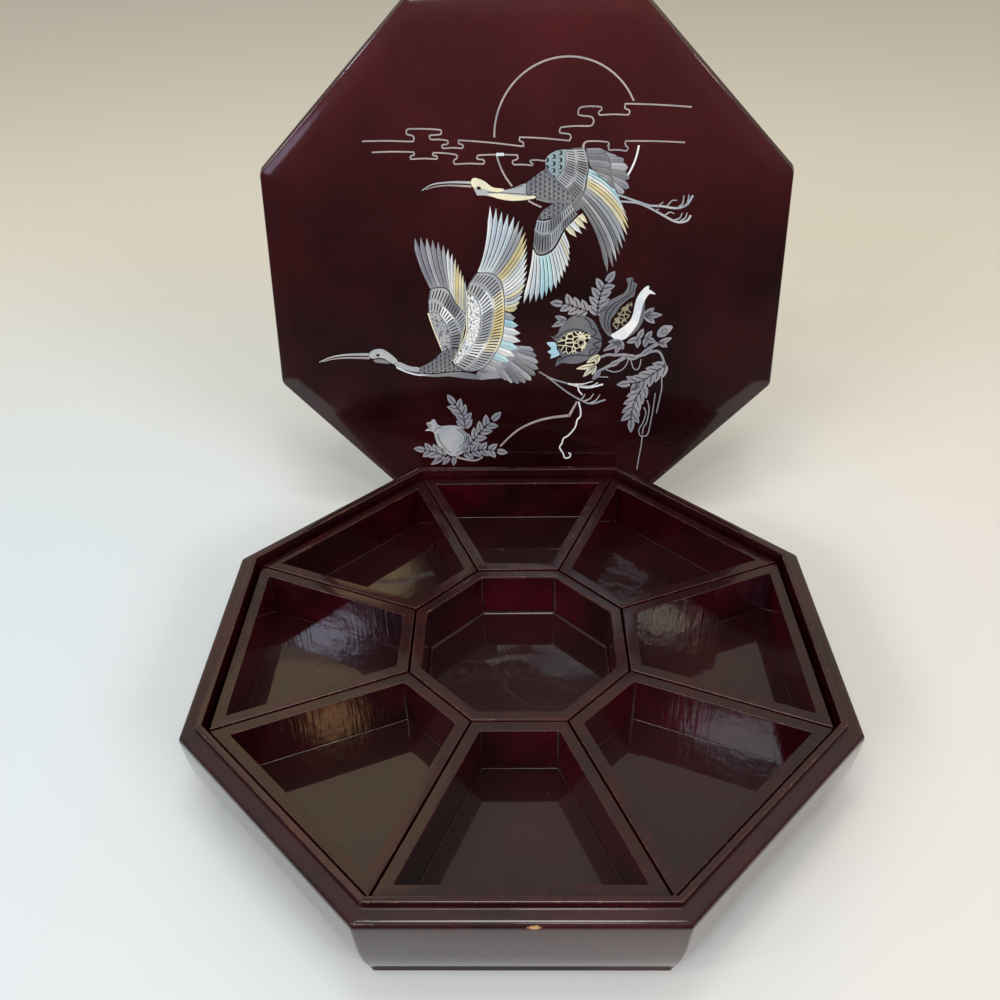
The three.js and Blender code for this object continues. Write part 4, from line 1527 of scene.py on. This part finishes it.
    def legs(self) -> None:
        """Draws the two legs with their claws."""
        legs = self.drawing()
        for knots, start, end in (
                ([(56, 54.2), (68.7, 49.9), (76.4, 47.5), (84, 47), (93, 45.8), (99, 47.8), (102.4, 53.2)],
                 1.1, 1.3),
                ([(58, 50), (68.7, 49), (75.8, 46.4), (82.2, 43.2), (93, 37.8), (99.5, 38.2), (102, 41.6)],
                 1.1, 1.3),
                ([(82, 47.2), (84.8, 49.5)], 0.8, 0.4), ([(87, 46.8), (90, 50.2), (93, 50.4)], 0.8, 0.4),
                ([(94, 46.2), (96.4, 48.5), (97, 53.2)], 1.0, 0.5),
                ([(97, 46.9), (99.3, 49), (100, 53.8)], 1.0, 0.5), ([(80, 44.4), (82.4, 45.2)], 0.8, 0.4),
                ([(86, 41.4), (89, 43.4), (92, 42.6)], 0.8, 0.4),
                ([(92, 38.6), (95.4, 40), (96.6, 43)], 0.9, 0.5),
                ([(96, 38.2), (98.6, 40), (99.6, 43)], 0.9, 0.5)):
            legs.line(Tint.SILVER, knots, start, end)
        legs.build("upper_crane_legs")

    def build(self) -> None:
        """Draws the whole bird."""
        for part in (self.body, self.near_wing, self.far_wing, self.tail, self.legs):
            part()


class LowerCrane(Motif):
    """The crane that flies below with its wings raised."""

    def body(self) -> None:
        """Draws the bill, head, neck, scaled breast and plain belly."""
        bird = self.drawing()
        bird.line(Tint.SILVER, [
            (-135.2, -51.9), (-126.5, -48.4), (-116.7, -46.9), (-108, -46.6), (-102, -46.6)], 0.5, 1.7)
        bird.line(Tint.WIRE, [
            (-133, -51.6), (-126, -49.8), (-117, -48.9), (-108, -48.9), (-101.5, -49)], 0.4, 1.5)
        bird.plate(Tint.SILVER, [
            (-101.8, -46.4), (-98.5, -43.5), (-93, -43), (-88, -45.9), (-83, -51), (-86, -53), (-93, -49),
            (-100, -49.3)])
        bird.plate(Tint.GREY, [(-99, -50.2), (-93, -50), (-88, -52.6), (-92, -52.6), (-97.5, -51.9)])
        bird.plate(Tint.DARK, [
            (-97, -46.6), (-95, -46.3), (-94.8, -47.7), (-96.6, -47.9)], layer=1, step=0.5)
        bird.plate(Tint.SILVER, [
            (-82.4, -51.7), (-75, -54.6), (-69.4, -55.4), (-69.6, -58.6), (-78, -57), (-85, -54)])
        bird.line(Tint.WHITE, [(-84, -55.2), (-78, -58.2), (-70, -60.4), (-59, -60.8)], 1.2, 0.9)
        bird.plate(
            Tint.GREY,
            [(-69, -55.5), (-63.5, -53), (-58.5, -49.5), (-53.5, -44.9), (-47.5, -42.4), (-42.4, -43)],
            [(-42.4, -43), (-44.6, -48), (-47.6, -51.8), (-43.8, -55), (-40.5, -57.7)],
            [(-40.5, -57.7), (-49.5, -58), (-59, -59.2), (-69, -59.8)], [(-69, -59.8), (-69, -55.5)],
            cut=Cut.SCALES)
        bird.plate(
            Tint.GREY, [(-68, -61), (-59, -60), (-49.5, -58.8), (-40, -58.6), (-31, -60.2), (-29, -60.4)],
            [(-29, -60.4), (-29, -63.4)],
            [(-29, -63.4), (-33.5, -63.2), (-38.5, -62.8), (-49.5, -61.4), (-59, -61.8), (-68, -61)])
        bird.build("lower_crane_body")

    def near_wing(self) -> None:
        """Draws the wing on this side, with its long feathers raised and its broad ones over the tail."""
        wing = self.drawing()
        first = [
            (-36, -5), (-32.5, -7), (-29.5, -11), (-27.5, -16.5), (-27.5, -24.5), (-29, -32.5),
            (-33, -40.5), (-38.5, -47.5), (-44, -54)]
        second = [
            (-34.5, 0), (-27.5, -1), (-22, -6.5), (-19, -14), (-19.5, -24.5), (-22, -34), (-26.5, -43.5),
            (-33, -52), (-39, -57)]
        edge = [
            (-29, 6.5), (-20.5, 6), (-15, 1.5), (-13, -7), (-12.5, -16.5), (-13, -26), (-14.5, -36.5),
            (-19, -46), (-25.5, -54.5), (-33.5, -57.5)]
        wing.plate(Tint.GREY, [
            (-36.2, -5), (-34.4, 0), (-29, 6.7), (-20.5, 6.4), (-14.6, 2), (-12.4, -8), (-12, -18),
            (-12.6, -27), (-14.2, -37), (-18.8, -46.4), (-25.4, -54.8), (-33.4, -57.8), (-40, -57),
            (-45.6, -52), (-41, -42), (-36.8, -32), (-36.2, -20)], layer=-1)
        wing.line(Tint.CREAM, [
            (-36.6, -4.5), (-36.8, -12.5), (-36.8, -24.5), (-37.5, -32.5), (-41.7, -42.2),
            (-47, -51)], 0.9, 0.9)
        wing.plate(
            Tint.WHITE,
            [(-35.8, -5.6), (-33, -7.4), (-30, -11.2), (-28.1, -16.5), (-28.1, -24.5), (-29.6, -32.5),
             (-33.5, -40.5), (-39, -47.6), (-44.2, -53.6)],
            [(-44.2, -53.6), (-46, -51), (-40.8, -42), (-36.6, -32.5), (-36, -24.5), (-36, -12.5),
             (-35.8, -5.6)],
            cut=Cut.PEBBLES)
        wing.band(first, second, 30, Tint.row("SILVER WHITE SILVER SILVER WHITE SILVER"))
        wing.band(second, edge, 38, Tint.row("SILVER SILVER CREAM GOLD GOLD CREAM SILVER SILVER"))
        tints = Tint.row("WHITE MIST MIST MIST MIST SILVER SILVER GOLD GOLD CREAM MIST "
                         "WHITE WHITE WHITE MIST CREAM SILVER MIST CREAM GOLD")
        wing.fan(Fan(
            [(-29.2, 7.2), (-20.5, 6.7), (-14.4, 2), (-12.3, -7), (-11.9, -17.5)],
            [(-22.5, 46.5), (-19.5, 47.5), (-13.5, 44), (-5, 40.5), (0, 34.5), (2, 25), (2, 13), (1.5, 2),
             (-1.5, -8.5), (-5, -17.5)],
            tints, bend=(-2.2, -1)))
        wing.fan(Fan(
            [(-11.9, -18.4), (-12.4, -26), (-13.9, -36.5), (-18.4, -46), (-24.8, -54.8), (-31, -57.9)],
            [(-6.6, -19.6), (-4, -26), (-2, -35.5), (-4.5, -45), (-9.5, -51.5), (-18, -57.5), (-26, -59.5)],
            Tint.row("SILVER CYAN WHITE WHITE CYAN WHITE CYAN SILVER SILVER GREY"), narrows_at=0.62,
            gap=0.3))
        wing.build("lower_crane_near_wing")

    def far_wing(self) -> None:
        """Draws the wing on the far side."""
        wing = self.drawing()
        first = [(-61, -18.5), (-56, -18.3), (-51, -24.3), (-48, -32), (-47, -41.5)]
        second = [(-61, -11.5), (-56.5, -11), (-49.5, -16.5), (-43.5, -24.5), (-40.5, -33), (-42.5, -42)]
        edge = [
            (-59, -4), (-54, -2.8), (-48.5, -4.3), (-43.5, -13.5), (-37.3, -20.5), (-38.5, -30.5),
            (-41, -40)]
        wing.plate(Tint.SLATE, [
            (-61, -19), (-61, -11.5), (-59.3, -3.8), (-54, -2.4), (-48.3, -4), (-43.3, -13.2), (-37.2, -20),
            (-38.4, -30), (-41.2, -40), (-47, -41.8), (-52.6, -43.6), (-58, -28.5)], layer=-1)
        wing.line(Tint.CREAM, [(-61.6, -19), (-58.8, -28.5), (-53.2, -44.2)], 0.9, 0.9)
        wing.plate(
            Tint.SILVER, [(-60.8, -19.2), (-56, -19), (-51.6, -24.7), (-48.7, -32.2), (-47.6, -41.6)],
            [(-47.6, -41.6), (-52.4, -43.8), (-58, -28.5), (-60.8, -19.2)], cut=Cut.PEBBLES)
        wing.band(first, second, 18, Tint.row("SILVER WHITE SILVER GREY"))
        wing.band(second, edge, 22, Tint.row("SILVER GREY SILVER CREAM"))
        tints = Tint.row("LILAC LILAC SILVER LILAC LILAC SILVER WHITE WHITE CREAM GOLD CREAM CREAM SILVER")
        wing.fan(Fan(
            [(-59.6, -3.3), (-54, -1.9), (-48, -3.6), (-43, -12.9), (-36.7, -19.8)],
            [(-69.8, 28), (-63, 28.8), (-56, 27), (-49.5, 23.5), (-44, 17.5), (-40, 9.5), (-36.5, 0)],
            tints, bend=(1.5, 0)))
        wing.build("lower_crane_far_wing")

    def tail(self) -> None:
        """Draws a fan of rounded tail feathers over a plain plate."""
        tail = self.drawing()
        tail.plate(Tint.LILAC, [
            (-13, -42), (-2.4, -41), (0, -50), (-5, -58), (-13, -62), (-22, -63), (-30, -63.4), (-30, -58),
            (-20, -54)], layer=-1)
        tail.fan(Fan(
            [(-2.6, -40.4), (-4, -45.4), (-8.6, -52.2), (-13, -56.4), (-17, -59.4)],
            [(5, -41), (7.5, -45), (9.5, -51), (9.5, -56.5), (7, -61.5), (3.5, -65), (-3, -66.5), (-8, -66),
             (-14.5, -62.8)],
            Tint.row("SILVER LILAC SILVER LILAC GREY SILVER LILAC GREY SILVER LILAC"), tip=Tip.ROUND,
            narrows_at=0.75, gap=0.35))
        tail.build("lower_crane_tail")

    def legs(self) -> None:
        """Draws the two legs with their claws."""
        legs = self.drawing()
        for tint, knots, start, end in (
                (Tint.LILAC, [(10, -58), (18.6, -62.8), (29.3, -66.2)], 0.8, 1.0),
                (Tint.WHITE, [(29.5, -66.2), (41.7, -68.8), (52.3, -66.6)], 1.3, 1.1),
                (Tint.LILAC, [(15, -61.4), (18.6, -64), (28.5, -71.8), (37.5, -77.3), (44.7, -80),
                              (54.4, -77.3)], 0.8, 1.3),
                (Tint.WHITE, [(31, -66.6), (39, -66.4), (45.6, -64.4)], 1.1, 0.5),
                (Tint.WHITE, [(36, -67.9), (44, -68), (49, -65.4)], 1.1, 0.5),
                (Tint.WHITE, [(36, -68.2), (36.5, -71), (39, -74)], 1.2, 0.7),
                (Tint.SILVER, [(38, -77.4), (40, -75), (40.6, -73.2)], 0.9, 0.4),
                (Tint.SILVER, [(40, -78.4), (44, -76.5), (46.3, -73.1)], 0.9, 0.4),
                (Tint.SILVER, [(44, -79.8), (48, -77.5), (50.7, -73.6)], 0.9, 0.4)):
            legs.line(tint, knots, start, end)
        legs.build("lower_crane_legs")

    def build(self) -> None:
        """Draws the whole bird."""
        for part in (self.body, self.near_wing, self.far_wing, self.tail, self.legs):
            part()


class Orchard(Motif):
    """Three pomegranates with their leaves, twigs and tendrils."""

    def left_fruit(self) -> None:
        """Draws the left one of the two split fruits, with its seeds showing."""
        left = self.drawing()
        left.plate(Tint.SLATE, [
            (15.5, -32), (18, -34), (21.5, -33), (23.5, -28.5), (26.5, -25), (30.5, -21.5), (35, -20),
            (39.5, -21), (43.5, -23), (46.5, -26.5), (48.5, -31), (50, -34.5), (50.5, -38.5), (49.5, -43),
            (46.5, -46.5), (42, -49.5), (36.5, -52), (30.5, -52.5), (24.5, -52), (21, -54.5), (22, -49.5),
            (25, -48), (23, -45.5), (21.5, -38.5), (19, -35.5)])
        left.plate(Tint.CREAM, [
            (21.9, -38.5), (25.5, -34.5), (30, -31.5), (35, -31), (41, -31.5), (43.5, -34.5), (41, -38.5),
            (39, -43), (34, -45), (28, -46), (24, -43.5)], cut=Cut.NET, layer=1)
        left.plate(Tint.CYAN, [
            (15, -38.5), (20.6, -38.5), (21.6, -43), (23.4, -46.5), (17.5, -49), (18, -46.5), (15.5, -44.5),
            (18, -42.5)], step=0.8)
        left.engrave(
            [(39, -22), (42.5, -25), (43.5, -28.5), (47, -31), (45, -34), (42.5, -34)],
            [(45, -35), (50, -37), (45, -39.5), (49, -42), (43.5, -43), (43, -46.5)],
            [(17, -33), (21.5, -35), (25, -32), (29.5, -30), (35, -29.5), (42.5, -33)],
            [(22.5, -50.5), (28, -47.5), (35, -46.5), (43, -47), (47.5, -43.5)], width=0.6)
        left.build("pomegranate_left")

    def right_fruit(self) -> None:
        """Draws the right one of the two split fruits, with its pale cheek."""
        right = self.drawing()
        right.plate(Tint.SLATE, [
            (64.5, 3), (68.5, 3.5), (69, 1), (71.5, -0.5), (70.5, -4), (70, -8), (67, -9.5), (63, -13),
            (60.5, -16), (58.5, -19.5), (56, -23), (55.5, -27.5), (56.5, -31), (56, -34.5), (53, -32),
            (50, -27.5), (48.5, -23), (48.5, -18.5), (49.5, -15.5), (53.5, -11.5), (59, -8.5), (63.5, -6),
            (65.5, -2.5), (65.5, 0.5)])
        right.plate(Tint.OLIVE, [
            (68.6, -11.8), (65, -13.9), (60.8, -17.4), (58.4, -21.8), (57, -26.5), (58.2, -29.6), (61, -29),
            (65, -26.2), (67.4, -21.5), (68.8, -16)], cut=Cut.NET)
        right.plate(Tint.WHITE, [
            (79, -1.5), (76.5, -2.5), (73.5, -6), (71.5, -10), (70.5, -14.5), (69.7, -19.5), (67.9, -24),
            (63.9, -27.9), (59.7, -31), (56.4, -33), (57.5, -35), (61.5, -37), (66, -35.5), (71.5, -31.5),
            (75, -26.5), (76.5, -21.5), (76.5, -16), (76.5, -12), (78, -8.5), (80, -6.5), (83.5, -7),
            (80.5, -4.5), (79, -4)])
        right.plate(
            Tint.SLATE, [(77, -12), (76.7, -21.5), (75.2, -26.5), (71.7, -31.6), (66, -35.6)],
            [(66, -35.6), (69.8, -31), (73.2, -25.4), (74.8, -18.5), (76, -12.5)], layer=1)
        right.engrave(
            [(68, 2.5), (67.5, -2), (66.5, -6.5), (61, -10.5), (55.5, -14.5), (52.5, -19.5), (52, -26),
             (54, -31)],
            [(69.6, -1), (68.6, -6), (64, -10), (58, -15), (55, -20), (54, -26), (55.6, -32)], width=0.5)
        right.build("pomegranate_right")

    def low_fruit(self) -> None:
        """Draws the whole fruit below."""
        low = self.drawing()
        low.plate(Tint.SILVER, [
            (-66, -94.5), (-63, -93.5), (-62, -92), (-60, -92), (-58.5, -95), (-56, -96.5), (-50, -96),
            (-45, -96.5), (-41, -99.5), (-37.5, -103), (-37.5, -106.5), (-39, -110), (-39.5, -113.5),
            (-44, -117.5), (-49, -118.5), (-54, -115.5), (-58, -111.5), (-60, -106.5), (-61, -101.5),
            (-63.5, -100), (-67, -100), (-64.5, -97.5)])
        low.engrave(
            [(-46, -98.4), (-42, -101), (-40, -104.4), (-41, -108.5), (-43.5, -112)],
            [(-60.5, -100.5), (-59, -98), (-56, -97.6)],
            [(-44, -98.4), (-40.4, -100.8), (-38.6, -104), (-39.8, -108.2), (-41.6, -112.6), (-46, -116.4)],
            [(-58.6, -102), (-57.2, -107), (-54, -112), (-50, -116)],
            [(-65, -94.8), (-62.4, -96.4), (-65, -97.6), (-62, -98.8)])
        low.build("pomegranate_low")

    def top_leaves(self) -> None:
        """Draws the sprays above the split fruit and the small leaves round it."""
        leaves = self.drawing()
        leaves.spray([
            (47, -19.5), (47.5, -13.5), (48.5, -7.5), (50.5, -2), (52.5, 1)], 4, 8.2, 4.7, spread=52)
        leaves.spray([(40, -17.5), (34, -15.5), (29, -13.5), (24.5, -13)], 3, 7.8, 4.7, spread=50)
        leaves.build("leaf_sprays_top")
        small = self.drawing()
        for tint, root, breadth, tips in (
                (Tint.LILAC, (27, -23.8), 3.8, [(20, -21), (18, -28)]),
                (Tint.LILAC, (77.4, -20.6), 4.2, [(83, -15.5), (88.5, -20), (84, -25.5)]),
                (Tint.LILAC, (62.5, -37.6), 3.8, [(51.5, -44), (54.5, -37.8), (59.5, -46), (64.4, -43)]),
                (Tint.LILAC, (74, -35.4), 3.8, [(77, -29), (73.5, -42), (66.5, -38.4)]),
                (Tint.LILAC, (79, -35.6), 3.8, [(82.5, -30.5), (85.6, -38), (78.4, -41.6)]),
                (Tint.LILAC, (88, -38.5), 3.4, [(95.5, -35), (93, -41)]),
                (Tint.CREAM, (49, -47), 3.2, [(41, -52), (47, -53)]),
                (Tint.CREAM, (46.5, -53.5), 3.4, [(34.5, -56), (39, -61.5), (45, -60)])):
            for tip in tips:
                small.leaf(tint, root, tip, breadth)
        small.plate(Tint.LILAC, [
            (86, -34), (86.5, -30), (90, -27), (95.5, -27.5), (93.5, -31.5), (90, -34.5)])
        small.engrave([
            (88.6, -31.6), (89.4, -29.4), (91.6, -29.4), (91.8, -31.6), (89.8, -32.6), (88.6, -31.6)])
        small.build("leaf_sprays_small", solid=False)

    def right_leaves(self) -> None:
        """Draws the long sprays on the right, the twigs that bear them and their tendrils."""
        leaves = self.drawing()
        leaves.line(Tint.LILAC, [
            (50.5, -48), (54.5, -46.4), (60, -46.6), (65.5, -46.4), (69, -47.4), (74, -47.5), (79, -45),
            (81, -42.4), (87, -38.8)], 1.6, 2.4)
        leaves.line(Tint.LILAC, [(45.5, -63), (48, -58.4), (54, -55), (59.5, -52), (66, -48)], 1.4, 2.6)
        leaves.line(Tint.LILAC, [(79, -45.6), (84, -44), (88.5, -45), (92.5, -53.5)], 1.8, 1.2)
        for root, tip, breadth in (
                ((57, -53.4), (63, -50.4), 3.6), ((67, -47.6), (74.5, -48.6), 4.0),
                ((77, -46.4), (83.5, -41.4), 3.8), ((50, -58), (46, -63.5), 2.6)):
            leaves.leaf(Tint.LILAC, root, tip, breadth, layer=1)
        for knots in (
                [(47.5, -61), (52, -61.5), (55.5, -61.5)],
                [(54, -56.5), (59, -58), (63.5, -57), (66.5, -54), (68.5, -49)],
                [(69.5, -49), (71.5, -55), (73.5, -56.5), (75.5, -55), (76.5, -49.5)],
                [(80, -82.5), (81.5, -86.5), (80, -93), (77.5, -98.5), (78.5, -102.5), (81, -103),
                 (83.5, -101.5), (85, -93.5), (86, -85), (87, -72.5)],
                [(82, -77.5), (83.5, -83.5), (82.5, -92.5), (80.5, -97), (80, -101.5)],
                [(80, -103.5), (79.5, -111), (78.5, -118.5), (77.5, -127.5)],
                [(90.5, -62), (91, -69), (90, -76.5), (88.5, -86.5)]):
            leaves.line(Tint.LILAC, knots, 0.75, 0.65)
        leaves.spray([
            (92.5, -53.5), (87, -57.5), (81, -62), (75.5, -65), (70, -65.8)], 5, 8.8, 4.6, spread=43)
        leaves.spray([
            (79, -67.4), (76, -73), (73.5, -79), (72, -86.5), (72, -91.5)], 5, 9.0, 4.6, spread=43)
        leaves.build("leaf_sprays_right")

    def low_leaves(self) -> None:
        """Draws the sprays round the lower fruit."""
        leaves = self.drawing()
        leaves.spray([(-39.5, -97.5), (-40.5, -90), (-44, -84), (-46.5, -80.5)], 4, 7.8, 4.4, spread=45)
        leaves.spray([(-37, -110), (-31.5, -103.5), (-26.5, -97.5), (-21, -92)], 4, 8.2, 4.6, spread=45)
        leaves.spray([
            (-40.5, -116.5), (-33.5, -114.5), (-26, -113.5), (-18, -114.6)], 4, 7.2, 4.4, spread=45)
        leaves.spray([(-54.5, -118.2), (-61, -115.6), (-68, -114.2)], 3, 7.4, 4.4, spread=45)
        for root, tip in (
                ((-47.5, -119.6), (-48.5, -125.5)), ((-51, -119.4), (-56, -125)),
                ((-56, -120), (-64, -125))):
            leaves.leaf(Tint.LILAC, root, tip, 3.6)
        leaves.line(Tint.WIRE, [(-46.5, -119), (-39, -121), (-33, -121.5), (-28, -119)], 1.5, 1.0)
        leaves.build("leaf_sprays_low")

    def branch(self) -> None:
        """Draws the branch that reaches up from below, with its curling tendril."""
        branch = self.drawing()
        branch.line(Tint.WIRE, [
            (-16, -111), (-9, -103.5), (-1.5, -97.5), (9, -92.5), (19, -90), (31, -88.4)], 1.1, 1.7)
        branch.line(Tint.WIRE, [(30.3, -88.8), (33, -83.5), (35.5, -78.6)], 1.8, 1.2)
        branch.line(Tint.WHITE, [
            (36.6, -78.8), (38, -84.5), (38, -89), (36, -91.5), (35, -96), (33, -99.5), (30, -103),
            (27, -105), (26, -108.5), (24.5, -111.5), (27, -116), (28, -119), (31, -119), (32, -116.5),
            (30.5, -115.5)], 1.0, 0.9)
        branch.build("branch_and_tendril")

    def build(self) -> None:
        """Draws all of it."""
        for part in (
                self.left_fruit, self.right_fruit, self.low_fruit, self.top_leaves, self.right_leaves,
                self.low_leaves, self.branch):
            part()


# The studio


@dataclass(frozen=True)
class Lamp:
    """A soft oval lamp."""

    name: str
    at: tuple[float, float, float]
    watts: float
    colour: str
    size: tuple[float, float]
    mirrored: bool = True


@dataclass
class Studio:
    """A pale table, soft light and the camera."""

    table_size: float = 12.0
    table_left_cool_light: str = "#DCE8EE"
    table_right_warm_light: str = "#EAE6DF"
    table_back: str = "#F4EDDA"
    room_shade: str = "#9E9A98"
    far_shade: str = "#54504D"
    wall_shade: str = "#DAD3C0"
    ceiling_shade: str = "#E6E2DA"
    backdrop_shade: str = "#E6E7E8"
    room_strength: float = 0.74
    aim: tuple[float, float, float] = (0.0, 0.1, 0.1)
    lens_mm: float = 34.87
    sensor_mm: float = 36.0
    nearest: float = 0.01
    camera_at: tuple[float, float, float] = (-0.0004, -0.3782, 0.4137)
    camera_right: tuple[float, float, float] = (0.9998, 0.0096, -0.0166)
    camera_down: tuple[float, float, float] = (-0.0079, -0.5857, -0.8105)
    lamps: list[Lamp] = field(default_factory=lambda: [
        Lamp("lamp_far_left", (-1.49, -0.76, 1.5), 2.0, "#DCE6FF", (0.18, 0.1)),
        Lamp("lamp_left", (-0.47, -1.27, 1.5), 2.6, "#EDF4FF", (0.3, 0.12)),
        Lamp("lamp_right", (0.58, -1.27, 1.5), 1.5, "#FFC88E", (0.11, 0.12)),
        Lamp("lamp_far_right", (1.45, -0.89, 1.5), 1.2, "#FFF0DE", (0.16, 0.09)),
        Lamp("lamp_over_left", (-0.40, -0.51, 1.5), 1.5, "#FFE2AC", (0.22, 0.12)),
        Lamp("lamp_over_middle", (0.10, -0.42, 1.5), 1.2, "#E9F1FF", (0.24, 0.14)),
        Lamp("lamp_above", (0.0, 0.0, 1.5), 3.5, "#FFFFFF", (0.6, 0.3)),
        Lamp("lamp_low_left", (-1.25, -1.56, 0.88), 0.8, "#E4DCFF", (0.4, 0.3)),
        Lamp("lamp_edge_left", (-1.55, -0.75, 1.22), 1.6, "#EEF0FF", (0.3, 0.2)),
        Lamp("lamp_back_left", (-0.5, 1.08, 1.58), 0.55, "#FFDA90", (0.62, 0.7)),
        Lamp("fill_left", (-1.8, -2.0, 1.6), 28.5, "#F4F8FF", (1.4, 0.7), mirrored=False),
        Lamp("fill_right", (1.8, -2.0, 1.6), 28.5, "#F4F8FF", (1.4, 0.7), mirrored=False),
    ])

    def table(self) -> None:
        """Lays the pale table under the box."""
        deselect()
        bpy.ops.mesh.primitive_plane_add(size=self.table_size)
        table = begin("table")
        # Matt white, with painted cool light on the left, painted warm light on the right and warm cream further
        # back. In the lacquer's gloss its front is painted dark: a painted shade seen only in reflections.
        material, tree, shader = new_material("painted_table")
        place = add_node(tree, "TexCoord", {}, "Object")
        side = add_node(tree, "SeparateXYZ", {"Vector": place}, "X")
        front = add_node(tree, "SeparateXYZ", {"Vector": place}, "Y")
        # Painted light: cool on the left, warm on the right.
        across = add_node(tree, "MapRange", {"Value": side, "From Min": -0.35, "From Max": 0.35})
        colour = add_node(tree, "Mix", {0: across, 6: srgb(self.table_left_cool_light), 7: srgb(self.table_right_warm_light)}, 2,
                          data_type="RGBA")
        far = add_node(tree, "MapRange", {"Value": front, "From Min": 0.15, "From Max": 0.7, "To Max": 0.8})
        colour = add_node(tree, "Mix", {0: far, 6: colour, 7: srgb(self.table_back)}, 2, data_type="RGBA")
        # Painted shade: glossy rays see the table's front dark, so the lacquer mirrors it in shade.
        front_painted_shade = add_node(tree, "MapRange", {"Value": front, "From Min": -0.2, "From Max": -0.36})
        gloss = add_node(tree, "LightPath", {}, "Is Glossy Ray")
        dim = add_node(tree, "Math", {0: front_painted_shade, 1: gloss}, operation="MULTIPLY")
        colour = add_node(tree, "Mix", {0: dim, 6: colour, 7: srgb(self.far_shade)}, 2, data_type="RGBA")
        tree.links.new(colour, shader.inputs["Base Color"])
        shader.inputs["Roughness"].default_value = 0.6
        shader.inputs["Specular IOR Level"].default_value = 0.2
        table.data.materials.append(material)
        table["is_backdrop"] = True

    def light(self) -> None:
        """Hangs the lamps and sets the room's light, brighter above and behind than in front."""
        for lamp in self.lamps:
            data = bpy.data.lights.new(lamp.name, "AREA")
            data.shape = "ELLIPSE"
            data.size, data.size_y = lamp.size
            data.energy = lamp.watts
            data.color = srgb(lamp.colour)[:3]
            light = bpy.data.objects.new(lamp.name, data)
            bpy.context.collection.objects.link(light)
            light.location = lamp.at
            light.visible_glossy = lamp.mirrored
            way = Vector(self.aim) - Vector(lamp.at)
            light.rotation_euler = way.to_track_quat("-Z", "Y").to_euler()
        world = bpy.data.worlds.new("room")
        bpy.context.scene.world = world
        world.use_nodes = True
        tree = world.node_tree
        background = tree.nodes["Background"]
        way = add_node(tree, "TexCoord", {}, "Generated")
        depth = add_node(tree, "SeparateXYZ", {"Vector": way}, "Y")
        height = add_node(tree, "SeparateXYZ", {"Vector": way}, "Z")
        behind = add_node(tree, "MapRange", {"Value": depth, "From Min": -0.35, "From Max": 0.45})
        wall = add_node(tree, "Mix", {0: behind, 6: srgb(self.room_shade), 7: srgb(self.wall_shade)}, 2,
                        data_type="RGBA")
        raised = add_node(tree, "MapRange", {"Value": height, "From Min": 0.02, "From Max": 0.42})
        wall = add_node(tree, "Mix", {0: raised, 6: srgb(self.far_shade), 7: wall}, 2, data_type="RGBA")
        overhead = add_node(tree, "MapRange", {"Value": height, "From Min": 0.62, "From Max": 0.9})
        room = add_node(tree, "Mix", {0: overhead, 6: wall, 7: srgb(self.ceiling_shade)}, 2,
                        data_type="RGBA")
        seen = add_node(tree, "LightPath", {}, "Is Camera Ray")
        shown = add_node(tree, "Mix", {0: seen, 6: room, 7: srgb(self.backdrop_shade)}, 2, data_type="RGBA")
        tree.links.new(shown, background.inputs["Color"])
        background.inputs["Strength"].default_value = self.room_strength

    def camera(self) -> None:
        """Sets the camera at the photograph's place."""
        data = bpy.data.cameras.new("camera")
        data.lens = self.lens_mm
        data.sensor_width = self.sensor_mm
        data.clip_start = self.nearest
        camera = bpy.data.objects.new("camera", data)
        bpy.context.collection.objects.link(camera)
        right = Vector(self.camera_right).normalized()
        up = -Vector(self.camera_down)
        up = (up - right * up.dot(right)).normalized()
        back = right.cross(up)
        turn = Matrix((right, up, back)).transposed().to_4x4()
        camera.matrix_world = Matrix.Translation(self.camera_at) @ turn
        bpy.context.scene.camera = camera

    def build(self) -> None:
        """Sets up the table, light and camera."""
        self.table()
        self.light()
        self.camera()
        bpy.context.scene.view_settings.view_transform = "Standard"


def write_sizes() -> None:
    """Gathers the plain solids' box and the finished model's box into lists, and writes nothing."""
    boxes = {"cad": CAD_BOX, "visual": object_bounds()}
    lists = {name: [[float(value) for value in corner] for corner in corners] for name, corners in boxes.items()}


def main() -> None:
    """Builds the sub-assemblies in order and reports each piece."""
    logging.basicConfig(level=logging.INFO, format="%(message)s")
    finishes = Finishes()
    Studio().build()
    Base(finishes).build()
    Trays(finishes).build()
    lid = Lid(finishes)
    lid.build()
    for part in (Sky, UpperCrane, LowerCrane, Orchard):
        part(lid, finishes).build()
    write_sizes()


if __name__ == "__main__":
    main()
